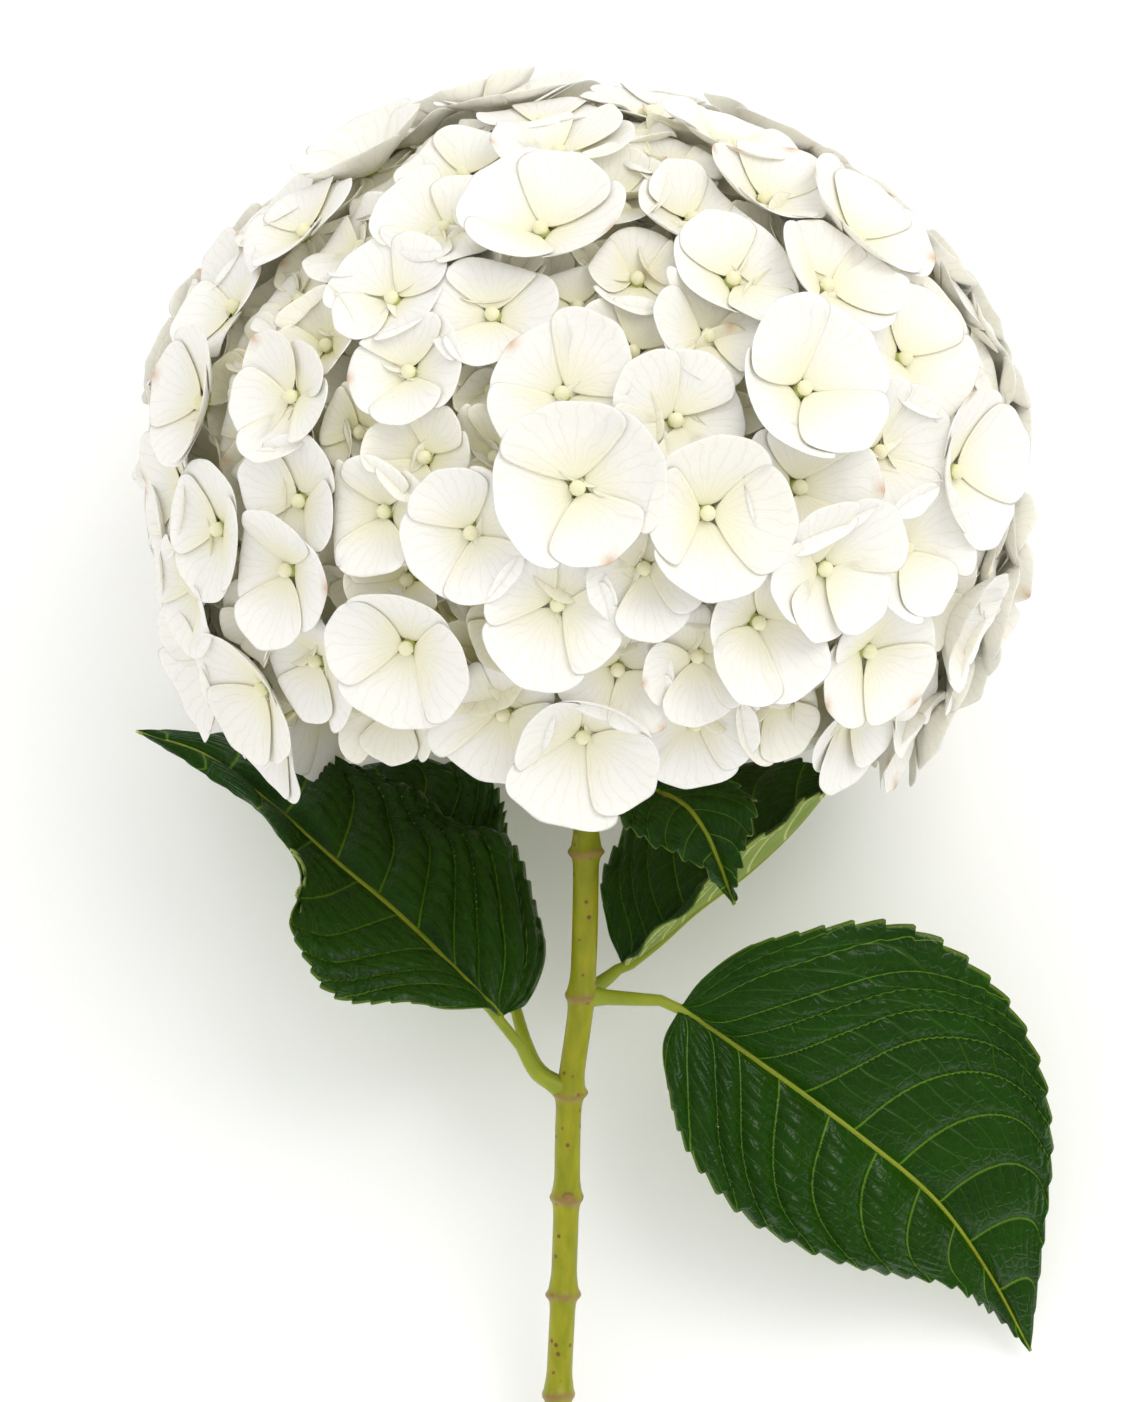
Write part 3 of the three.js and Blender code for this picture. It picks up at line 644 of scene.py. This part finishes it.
def add_middle(shape, floret):
    """The bud on its short ring, and the star of the calyx seen between the sepals' bases, its green partly
    painted shade of those gaps.
    """
    axis = floret.axis
    upright = Vector((0, 0, 1)).rotation_difference(Vector(axis)).to_matrix().to_4x4()
    lift = 1.0 if floret.pressed else 1.9
    spot = Matrix.Translation(Vector(floret.centre + axis * lift)) @ upright
    size = BUD_RADIUS * (0.8 if floret.pressed else 0.85 + 0.012 * floret.width)
    bmesh.ops.create_icosphere(shape, subdivisions=2, radius=size, matrix=spot)
    ring_spot = Matrix.Translation(Vector(floret.centre + axis * (lift - CALYX_DEPTH))) @ upright
    ring = bmesh.ops.create_cone(shape, cap_ends=True, segments=8, radius1=size * 1.3, radius2=size * 0.9,
                                 depth=CALYX_DEPTH, matrix=ring_spot)
    for face in {face for vert in ring["verts"] for face in vert.link_faces}:
        face.material_index = 1


def pedicel_line(floret, fork):
    """The way of a pedicel from the back of a floret to its sprig's fork, with its radii."""
    root = floret.centre - floret.axis * 0.2
    below = floret.centre - floret.axis * 5
    if floret.pressed:
        below[2] = max(below[2], 4)
    line = smooth_line([root, below, fork + 0.35 * (below - fork), fork], 9)
    radii = [1.15, 0.8, 0.66, 0.62, 0.62, 0.64, 0.68, 0.74, 0.8]
    return line, radii


def make_sprig(number, group, fork):
    """One sprig: its sepals, its buds with their calyces, and its pedicels."""
    name = f"floret_sprig_{number + 1:02d}"
    sheet = bmesh.new()
    layers = sheet.verts.layers.float_vector.new("place"), sheet.verts.layers.float.new("green_and_depth_shade")
    core = bmesh.new()
    lines = []
    for index in group:
        floret = FLORETS[index]
        form = make_form(index)
        for which in range(len(form["turns"])):
            add_sepal(sheet, layers, index, form, which)
        add_middle(core, floret)
        lines.append(pedicel_line(floret, fork))
    lines.append(([fork - 0.1, fork, fork + 0.1], [1.4, 1.6, 1.4]))
    sepals = new_piece(name + "_sepals", mesh_from(sheet, name + "_sepals"), [SEPAL])
    thickness = sepals.modifiers.new("thickness", "SOLIDIFY")
    thickness.thickness = SEPAL_THICKNESS * MM
    thickness.offset = 0
    rounding = sepals.modifiers.new("rounding", "SUBSURF")
    rounding.levels = rounding.render_levels = 1
    middles = new_piece(name + "_buds", mesh_from(core, name + "_buds"), [BUD, CALYX_AND_GAP_SHADE])
    stalks = new_piece(name + "_pedicels", tubes(lines, 6), [PEDICEL])
    for piece in (sepals, middles, stalks):
        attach(piece, "root")
        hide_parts(name)


for sprig_number, (sprig_group, sprig_middle) in enumerate(zip(SPRIGS, FORKS)):
    make_sprig(sprig_number, sprig_group, sprig_middle)

# ---- Leaves -----------------------------------------------------------------------------------

def leaf_upper_material():
    """Satin, leathery leaf top: dark green cells between thin yellow-green veins."""
    material, tree, shader = new_material("Hydrangea leaf, upper side")
    veins = node(tree, "ShaderNodeAttribute", {"attribute_name": "veins"})
    parts = node(tree, "ShaderNodeSeparateXYZ", i0=veins.outputs["Vector"])
    side_vein, ladder, margin = parts.outputs
    rib = node(tree, "ShaderNodeAttribute", {"attribute_name": "rib"}).outputs["Fac"]
    coords = node(tree, "ShaderNodeTexCoord").outputs["Object"]
    patches = node(tree, "ShaderNodeTexNoise", {}, Vector=coords, Scale=70.0, Detail=4.0)
    body = node(tree, "ShaderNodeMix", {"data_type": "RGBA"}, i0=patches.outputs["Fac"],
                i6=srgb("#1f4a02"), i7=srgb("#153401"))
    # Small cells of a millimetre or two, drawn as fine paler lines.
    cells = node(tree, "ShaderNodeTexVoronoi", {"feature": "DISTANCE_TO_EDGE"}, Vector=coords, Scale=420.0)
    net = line_mask(tree, cells.outputs["Distance"], 0.02, 0.16)
    near_side = node(tree, "ShaderNodeMath", {"operation": "PINGPONG"}, i0=side_vein, i1=0.5)
    side_line = line_mask(tree, near_side.outputs[0], 0.008, 0.03)
    near_rung = node(tree, "ShaderNodeMath", {"operation": "PINGPONG"}, i0=ladder, i1=0.5)
    rung_line = line_mask(tree, near_rung.outputs[0], 0.015, 0.06)
    rib_line = line_mask(tree, rib, 0.6, 1.0)
    edge_line = line_mask(tree, margin, 0.008, 0.02)
    colour = body.outputs[2]
    for mask, amount, code in ((net, 0.12, "#335a08"), (rung_line, 0.3, "#3b6a0e"),
                               (side_line, 0.72, "#628a14"), (edge_line, 0.4, "#7f9632"),
                               (rib_line, 0.95, "#9bb02a")):
        scaled = node(tree, "ShaderNodeMath", {"operation": "MULTIPLY"}, i0=mask, i1=amount)
        colour = node(tree, "ShaderNodeMix", {"data_type": "RGBA"}, i0=scaled.outputs[0],
                      i6=colour, i7=srgb(code)).outputs[2]
    tree.links.new(colour, shader.inputs["Base Color"])
    sheen = node(tree, "ShaderNodeMapRange", {}, Value=patches.outputs["Fac"],
                 To_Min=0.24, To_Max=0.36)
    tree.links.new(sheen.outputs[0], shader.inputs["Roughness"])
    fine = node(tree, "ShaderNodeMath", {"operation": "MULTIPLY"}, i0=net, i1=0.4)
    grooves = node(tree, "ShaderNodeMath", {"operation": "MAXIMUM"}, i0=fine.outputs[0], i1=rung_line)
    height = node(tree, "ShaderNodeMath", {"operation": "SUBTRACT"}, i0=1.0, i1=grooves.outputs[0])
    bump = node(tree, "ShaderNodeBump", {}, Strength=0.5, Distance=0.0004, Height=height.outputs[0])
    tree.links.new(bump.outputs[0], shader.inputs["Normal"])
    shader.inputs["Specular IOR Level"].default_value = 0.4
    return material


def leaf_under_material():
    """Matt leaf underside: pale grey-green with veins a little lighter."""
    material, tree, shader = new_material("Hydrangea leaf, underside")
    veins = node(tree, "ShaderNodeAttribute", {"attribute_name": "veins"})
    parts = node(tree, "ShaderNodeSeparateXYZ", i0=veins.outputs["Vector"])
    coords = node(tree, "ShaderNodeTexCoord").outputs["Object"]
    patches = node(tree, "ShaderNodeTexNoise", {}, Vector=coords, Scale=110.0, Detail=4.0)
    body = node(tree, "ShaderNodeMix", {"data_type": "RGBA"}, i0=patches.outputs["Fac"],
                i6=srgb("#7f9448"), i7=srgb("#98a85c"))
    near_side = node(tree, "ShaderNodeMath", {"operation": "PINGPONG"}, i0=parts.outputs[0], i1=0.5)
    side_line = line_mask(tree, near_side.outputs[0], 0.015, 0.05)
    colour = node(tree, "ShaderNodeMix", {"data_type": "RGBA"}, i0=side_line,
                  i6=body.outputs[2], i7=srgb("#c0c882"))
    tree.links.new(colour.outputs[2], shader.inputs["Base Color"])
    bump = node(tree, "ShaderNodeBump", {}, Strength=0.3, Distance=0.0003, Height=patches.outputs["Fac"])
    tree.links.new(bump.outputs[0], shader.inputs["Normal"])
    shader.inputs["Roughness"].default_value = 0.68
    shader.inputs["Specular IOR Level"].default_value = 0.25
    return material


def line_mask(tree, distance, full, gone):
    """One within a distance of a line, falling to zero a little further out."""
    made = node(tree, "ShaderNodeMapRange", {"interpolation_type": "SMOOTHSTEP"}, Value=distance,
                From_Min=full, From_Max=gone, To_Min=1.0, To_Max=0.0)
    return made.outputs[0]


BLADE_THICKNESS = 0.4
BLADE_COLUMNS = 80
ROWS_PER_TOOTH = 8

LEAF_UPPER = leaf_upper_material()
LEAF_UNDER = leaf_under_material()
STALK = mottled_material("Yellow-green leaf stalk", "#9fa824", "#788810", 0.45, 160)


def ramp(value, low, high):
    """A smooth step from 0 at low to 1 at high."""
    share = np.clip((value - low) / (high - low), 0, 1)
    return share * share * (3 - 2 * share)


def ridge(distance, width):
    """A round bump, 1 at no distance and close to 0 past twice the width."""
    return np.exp(-(distance / width) ** 2)


def leaf_surface(leaf, across, along):
    """The blade as folded and curled, without its veins and teeth, and its facing directions."""
    count = 241
    lines = {side: smooth_line(leaf[side], count) for side in ("midrib", "left", "right")}
    places = np.linspace(0, 1, count)

    def at(side, share):
        return np.stack([np.interp(share, places, lines[side][:, k]) for k in range(3)], axis=-1)

    def surface(u, v):
        rib = at("midrib", v)
        edge = np.where((u < 0)[:, None], at("left", v), at("right", v))
        return rib + (edge - rib) * np.abs(u)[:, None]

    base = surface(across, along)
    small = 0.004
    ahead = surface(across, np.clip(along + small, 0, 1)) - surface(across, np.clip(along - small, 0, 1))
    left, right = surface(np.full_like(across, -1), along), surface(np.full_like(across, 1), along)
    rib = at("midrib", along)
    reach = np.where((across < 0)[:, None], rib - left, right - rib)
    blend = (0.5 + 0.5 * np.tanh(across / 0.08))[:, None]
    sideways = (rib - left) * (1 - blend) + (right - rib) * blend
    facing = np.cross(sideways, ahead)
    facing /= np.linalg.norm(facing, axis=1)[:, None] + 1e-9
    width = np.linalg.norm(reach, axis=1)
    outward = reach * np.sign(across)[:, None] / (width[:, None] + 1e-9)
    forward = ahead / (np.linalg.norm(ahead, axis=1)[:, None] + 1e-9)
    return base, facing, outward, forward, width


def vein_maps(leaf, across, along):
    """Numbers of the nearest side vein and ladder vein: whole numbers lie on the veins."""
    out = np.abs(across)
    sweep = np.where(across < 0, *leaf["slant"]) * (0.7 * out + 0.3 * out ** 3)
    start = (along - sweep) / (1 - sweep)
    start = np.where(start > 0, start * (1.25 - 0.25 * start), 0.4 * start)
    side_vein = leaf["veins"] * start + 0.45 * (across > 0)
    ladder = out * 9 + 0.3 * np.sin(1.7 * side_vein + 1) + 0.12 * np.sin(8 * out + 3.7 * side_vein)
    return side_vein, ladder


def leaf_points(leaf, across, along):
    """The blade's points with pillows, grooves, ripples and teeth, and the numbers of its veins."""
    base, facing, outward, forward, width = leaf_surface(leaf, across, along)
    out = np.abs(across)
    side_vein, ladder = vein_maps(leaf, across, along)
    near_side = np.abs(side_vein - np.round(side_vein))
    near_rung = np.abs(ladder - np.round(ladder))
    inner = ramp(out, 0.02, 0.14) * (1 - ramp(out, 0.93, 1.0)) * ramp(along, 0.0, 0.06)
    size = np.clip(width / 32, 0.25, 1)
    quilt = 0.55 + 0.45 * ramp(across, -0.2, 0.3)
    pillow = 1.25 * quilt * np.sin(math.pi * near_side) ** 0.7 * inner
    rungs = 1.3 * quilt * np.sin(math.pi * near_rung) ** 0.6 * np.sin(math.pi * near_side) * inner
    groove = -0.4 * ridge(near_side, 0.05) * inner
    middle = -0.6 * ridge(out * width, 0.9)
    crown = 1.2 * np.sin(math.pi * out) * size
    ripple = 0.9 * np.sin(2 * math.pi * (along * 5 + 0.2 * np.sign(across))) * ramp(out, 0.6, 1.0)
    height = (pillow + rungs + groove) * size + middle + (crown + ripple) * ramp(along, 0, 0.1)
    # Teeth point forwards and start a fifth of the way along.
    tooth = (along * leaf["teeth"]) % 1
    bite = tooth * (1 - ramp(tooth, 0.8, 1.0))
    toothed = ramp(along, 0.16, 0.42) * (1 - 0.6 * ramp(along, 0.86, 1.0)) * (1 - ramp(along, 0.97, 1.0))
    edge = ramp(out, 0.9, 1.0) * toothed
    points = base + facing * height[:, None] * (1 - 0.7 * ramp(along, 0.93, 1.0))[:, None]
    points = points + outward * (1.9 * bite * edge)[:, None] + forward * (1.3 * bite * edge)[:, None]
    return points, side_vein, ladder, width


def stalk_foot(leaf):
    """Where a stalk begins: in the bark of the stem, on the way to the stalk's next point."""
    axis = np.array(leaf["from"], float)
    way = unit(np.array(leaf["stalk"][0]) - axis)
    return axis + way * STEM_RADIUS * 0.7 / math.hypot(way[0], way[2])


def make_leaf(name, leaf):
    """One leaf: its veined, toothed blade, and its stalk with the raised midrib underneath."""
    shape = bmesh.new()
    veins = shape.verts.layers.float_vector.new("veins")
    rib = shape.verts.layers.float.new("rib")
    rows = leaf["teeth"] * ROWS_PER_TOOTH
    bmesh.ops.create_grid(shape, x_segments=BLADE_COLUMNS, y_segments=rows, size=1)
    square = np.array([vert.co[:2] for vert in shape.verts])
    across, along = square[:, 0], (square[:, 1] + 1) / 2
    local, side_vein, ladder, width = leaf_points(leaf, across, along)
    points = keep_above_floor(lay(local), 0.6)
    edge = 1 - np.abs(across)
    from_rib = np.abs(across) * width / (0.25 + 0.75 * (1 - along))
    for vert, point, q, r, e, d in zip(shape.verts, points, side_vein, ladder, edge, from_rib):
        vert.co = point
        vert[veins] = (q, r, e)
        vert[rib] = d
    blade = new_piece(name + "_blade", mesh_from(shape, name + "_blade"), [LEAF_UPPER, LEAF_UNDER])
    thickness = blade.modifiers.new("thickness", "SOLIDIFY")
    thickness.thickness = BLADE_THICKNESS * MM
    thickness.offset = -1
    thickness.material_offset = 1

    foot = stalk_foot(leaf)
    stalk = smooth_line([foot, *leaf["stalk"][:-1]], 14)
    places = np.linspace(0.03, 0.93, 40)
    under, facing, *_ = leaf_surface(leaf, np.zeros(40), places)
    radii = np.interp(places, [0, 0.25, 1], [1.25, 0.85, 0.3])
    line = np.vstack([stalk, under - facing * (radii * 0.75 + 0.3)[:, None]])
    taper = np.concatenate([np.interp(np.arange(14), [0, 3, 13], [2.5, 1.8, 1.3]), radii])
    line = keep_above_floor(lay(line), 0.9)
    stem_end = new_piece(name + "_stalk", tubes([(line, taper)], 10), [STALK])
    for piece in (blade, stem_end):
        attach(piece, "root")
        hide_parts(name)


for leaf_name, leaf_shape in LEAVES.items():
    make_leaf(leaf_name, leaf_shape)

# ---- Stem and rays ----------------------------------------------------------------------------

STEM_NODES = STEM_LINE[1:7]
SCAR_HALF_SIZE = (1.5, 1.3, 0.75)
PITH_RIM = 0.55                   # width of the bark round the cut face


def stem_material():
    """Smooth young stem: satin yellow-green, brown breathing specks, tan corky rings at the nodes."""
    material, tree, shader = new_material("Young hydrangea stem")
    coords = node(tree, "ShaderNodeTexCoord").outputs["Object"]
    ring = node(tree, "ShaderNodeAttribute", {"attribute_name": "ring"}).outputs["Fac"]
    stretched = node(tree, "ShaderNodeMapping", {}, Vector=coords, Scale=(1.0, 0.25, 1.0))
    streaks = node(tree, "ShaderNodeTexNoise", {}, Vector=stretched.outputs[0], Scale=420.0, Detail=4.0)
    body = node(tree, "ShaderNodeMix", {"data_type": "RGBA"}, i0=streaks.outputs["Fac"],
                i6=srgb("#aaa41a"), i7=srgb("#6c7a06"))
    spots = node(tree, "ShaderNodeTexVoronoi", {}, Vector=coords, Scale=270.0, Randomness=1.0)
    speck = line_mask(tree, spots.outputs["Distance"], 0.1, 0.19)
    brown = node(tree, "ShaderNodeMix", {"data_type": "RGBA"}, i0=speck, i6=body.outputs[2],
                 i7=srgb("#7c5228"))
    rough = node(tree, "ShaderNodeMath", {"operation": "MULTIPLY", "use_clamp": True}, i0=ring,
                 i1=streaks.outputs["Fac"])
    cork = node(tree, "ShaderNodeMath", {"operation": "MULTIPLY", "use_clamp": True},
                i0=rough.outputs[0], i1=1.7)
    colour = node(tree, "ShaderNodeMix", {"data_type": "RGBA"}, i0=cork.outputs[0], i6=brown.outputs[2],
                  i7=srgb("#8f7440"))
    tree.links.new(colour.outputs[2], shader.inputs["Base Color"])
    bump = node(tree, "ShaderNodeBump", {}, Strength=0.3, Distance=0.0003, Height=streaks.outputs["Fac"])
    tree.links.new(bump.outputs[0], shader.inputs["Normal"])
    shader.inputs["Roughness"].default_value = 0.38
    shader.inputs["Specular IOR Level"].default_value = 0.4
    return material


STEM = stem_material()
PITH = mottled_material("Cut pith, cream", "#e6e3c0", "#cfd09a", 0.8, 900)
SCAR = mottled_material("Corky bud scar", "#a58448", "#6e4e26", 0.8, 700)


def make_stem():
    """The stem as a rounded sheet closed on itself, swollen and ringed at its nodes."""
    line = smooth_line(STEM_LINE, 400)
    line[:, 1] = np.maximum(line[:, 1], -STEM_LENGTH + STEM_RADIUS * CUT_SLANT)
    shape = bmesh.new()
    ring_layer = shape.verts.layers.float.new("ring")
    bmesh.ops.create_grid(shape, x_segments=40, y_segments=300, size=1)
    square = np.array([vert.co[:2] for vert in shape.verts])
    angle, along = math.pi * (square[:, 0] + 1), (1 - square[:, 1]) / 2
    places = np.linspace(0, 1, len(line))
    centre = np.stack([np.interp(along, places, line[:, k]) for k in range(3)], axis=-1)
    radius = np.full(len(along), float(STEM_RADIUS))
    rings = np.zeros(len(along))
    for number, spot in enumerate(STEM_NODES):
        away = centre[:, 1] - spot[1]
        scarred = 0.5 + 0.5 * np.cos(angle - (0, math.pi / 2)[number % 2]) ** 2
        tip = 0.35 * np.sin(2 * angle + number)
        radius += 0.5 * ridge(away - 0.8, 2.6) + NODE_SWELL * (0.3 + 0.6 * scarred) * ridge(away - tip, 0.9)
        rings += ridge(away - tip + 0.3, 0.95) * (0.65 + 0.6 * scarred)
    radius += 0.05 * np.sin(3 * angle + 0.05 * centre[:, 1])
    slope = ramp(along, 0.97, 1.0)
    out = radius * np.sin(angle)
    local = centre + np.stack([radius * np.cos(angle), -CUT_SLANT * out * slope, out], axis=-1)
    for vert, point, value in zip(shape.verts, keep_above_floor(lay(local), 0.1), rings):
        vert.co = point
        vert[ring_layer] = value
    bmesh.ops.remove_doubles(shape, verts=shape.verts, dist=0.001)
    open_edges = [edge for edge in shape.edges if edge.is_boundary]
    foot = [edge for edge in open_edges if edge.verts[0].co.y < lay([0, -200, 0])[1]]
    ends = bmesh.ops.holes_fill(shape, edges=foot)["faces"]
    bmesh.ops.inset_individual(shape, faces=ends, thickness=PITH_RIM)
    for face in ends:
        face.material_index = 1
    top = [edge for edge in shape.edges if edge.is_boundary]
    bmesh.ops.holes_fill(shape, edges=top)
    bmesh.ops.recalc_face_normals(shape, faces=shape.faces)
    return new_piece("stem_bark", mesh_from(shape, "stem_bark"), [STEM, PITH])


def make_scar():
    """The round scar of a shed bud on the front of the fourth node."""
    shape = bmesh.new()
    spot = STEM_NODES[3]
    upright = Matrix.Rotation(TILT, 4, "X")
    place = Matrix.Translation(Vector(lay([spot[0] + 0.3, spot[1] + 0.6, STEM_RADIUS + 0.55]))) @ upright
    flattened = place @ Matrix.Diagonal((*SCAR_HALF_SIZE, 1))
    bmesh.ops.create_icosphere(shape, subdivisions=3, radius=1, matrix=flattened)
    return new_piece("stem_bud_scar", mesh_from(shape, "stem_bud_scar"), [SCAR])


def make_rays():
    """The rays inside the head, forking to the sprigs as the solid ones do."""
    lines = [([lay(STEM_LINE[0]), CROWN, CROWN + turn_down([0, 3, 0])], [3.0, 3.9, 3.0])]
    for group in share_out([unit(fork - CROWN) for fork in FORKS], RAYS):
        forks = [FORKS[k] for k in group]
        middle = CROWN + (np.mean(forks, axis=0) - CROWN) * FORK_DEPTH / HUB_DEPTH
        lines.append(([CROWN, (CROWN + middle) / 2, middle], [2.4, 2.1, 2.0]))
        for fork in forks:
            lead = middle + 0.3 * (middle - CROWN) * 0.5
            line = smooth_line([middle, 0.6 * lead + 0.4 * (middle + fork) / 2, fork], 7)
            lines.append((line, np.linspace(1.5, 1.05, 7)))
    return new_piece("stem_rays", tubes(lines, 8), [PEDICEL])


for stem_piece in (make_stem(), make_scar(), make_rays()):
    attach(stem_piece, "root")
    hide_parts("stem")

# ---- Surface, light and camera ----------------------------------------------------------------

CAMERA_DISTANCE = 875
VIEW_CENTRE = (-4.9, -56.9, 0)
VIEW_WIDTH = 252.1


def make_floor():
    """The pale surface that the flower lies on."""
    shape = bmesh.new()
    bmesh.ops.create_grid(shape, x_segments=1, y_segments=1, size=4000)
    floor = new_piece("floor", mesh_from(shape, "floor"), [], smooth=False)
    material, tree, shader = new_material("White paper sweep")
    coords = node(tree, "ShaderNodeTexCoord")
    fibres = node(tree, "ShaderNodeTexNoise", {}, Vector=coords.outputs["Object"], Scale=900.0, Detail=2.0)
    bump = node(tree, "ShaderNodeBump", {}, Strength=0.03, Distance=0.0001, Height=fibres.outputs["Fac"])
    tree.links.new(bump.outputs[0], shader.inputs["Normal"])
    shader.inputs["Base Color"].default_value = srgb("#fafaf9")
    shader.inputs["Roughness"].default_value = 0.9
    shader.inputs["Specular IOR Level"].default_value = 0.1
    floor.data.materials.append(material)


def aim(thing, place, target, up):
    """Puts a camera or light at a place, in millimetres, and points it at a target."""
    away = unit(np.asarray(place, float) - np.asarray(target, float))
    right = unit(np.cross(up, away))
    turn = Matrix((right, np.cross(away, right), away)).transposed().to_4x4()
    thing.matrix_world = Matrix.Translation(Vector(place) * MM) @ turn


def make_camera():
    """Looks down on the front of the flower, with the head at the top."""
    camera = bpy.data.cameras.new("camera")
    camera.sensor_fit = "HORIZONTAL"
    camera.sensor_width = 36
    thing = bpy.data.objects.new("camera", camera)
    bpy.context.scene.collection.objects.link(thing)
    place = lay([0, 0, CAMERA_DISTANCE])
    target = lay(VIEW_CENTRE)
    camera.lens = camera.sensor_width * np.linalg.norm(place - target) / VIEW_WIDTH
    camera.clip_end = 100
    aim(thing, place, target, turn_down([0, 1, 0]))
    bpy.context.scene.camera = thing


def add_light(name, place, target, size, power, colour):
    """A round area light that points at a target."""
    light = bpy.data.lights.new(name, "AREA")
    light.shape = "DISK"
    light.size = size
    light.energy = power
    light.color = srgb(colour)[:3]
    thing = bpy.data.objects.new(name, light)
    bpy.context.scene.collection.objects.link(thing)
    aim(thing, place, target, np.array([0.0, 1.0, 0.01]))


def make_light():
    """One soft key light, from above and to the right of the head, in a white surround."""
    world = bpy.data.worlds.new("studio")
    bpy.context.scene.world = world
    world.use_nodes = True
    # A white tent that lights the surface evenly; glossy things mirror the dark room behind it.
    tree = world.node_tree
    glossy = node(tree, "ShaderNodeLightPath").outputs["Is Glossy Ray"]
    strength = node(tree, "ShaderNodeMath", {"operation": "MULTIPLY_ADD"}, i0=glossy, i1=-1.05, i2=1.08)
    tree.links.new(strength.outputs[0], tree.nodes["Background"].inputs["Strength"])
    tree.nodes["Background"].inputs["Color"].default_value = (1, 1, 1, 1)
    middle = lay([0, -20, 0])
    add_light("key", (500, 350, 1200), middle, 0.8, 4.6, "#fffdf9")
    bpy.context.scene.view_settings.view_transform = "Standard"


make_floor()
make_camera()
make_light()
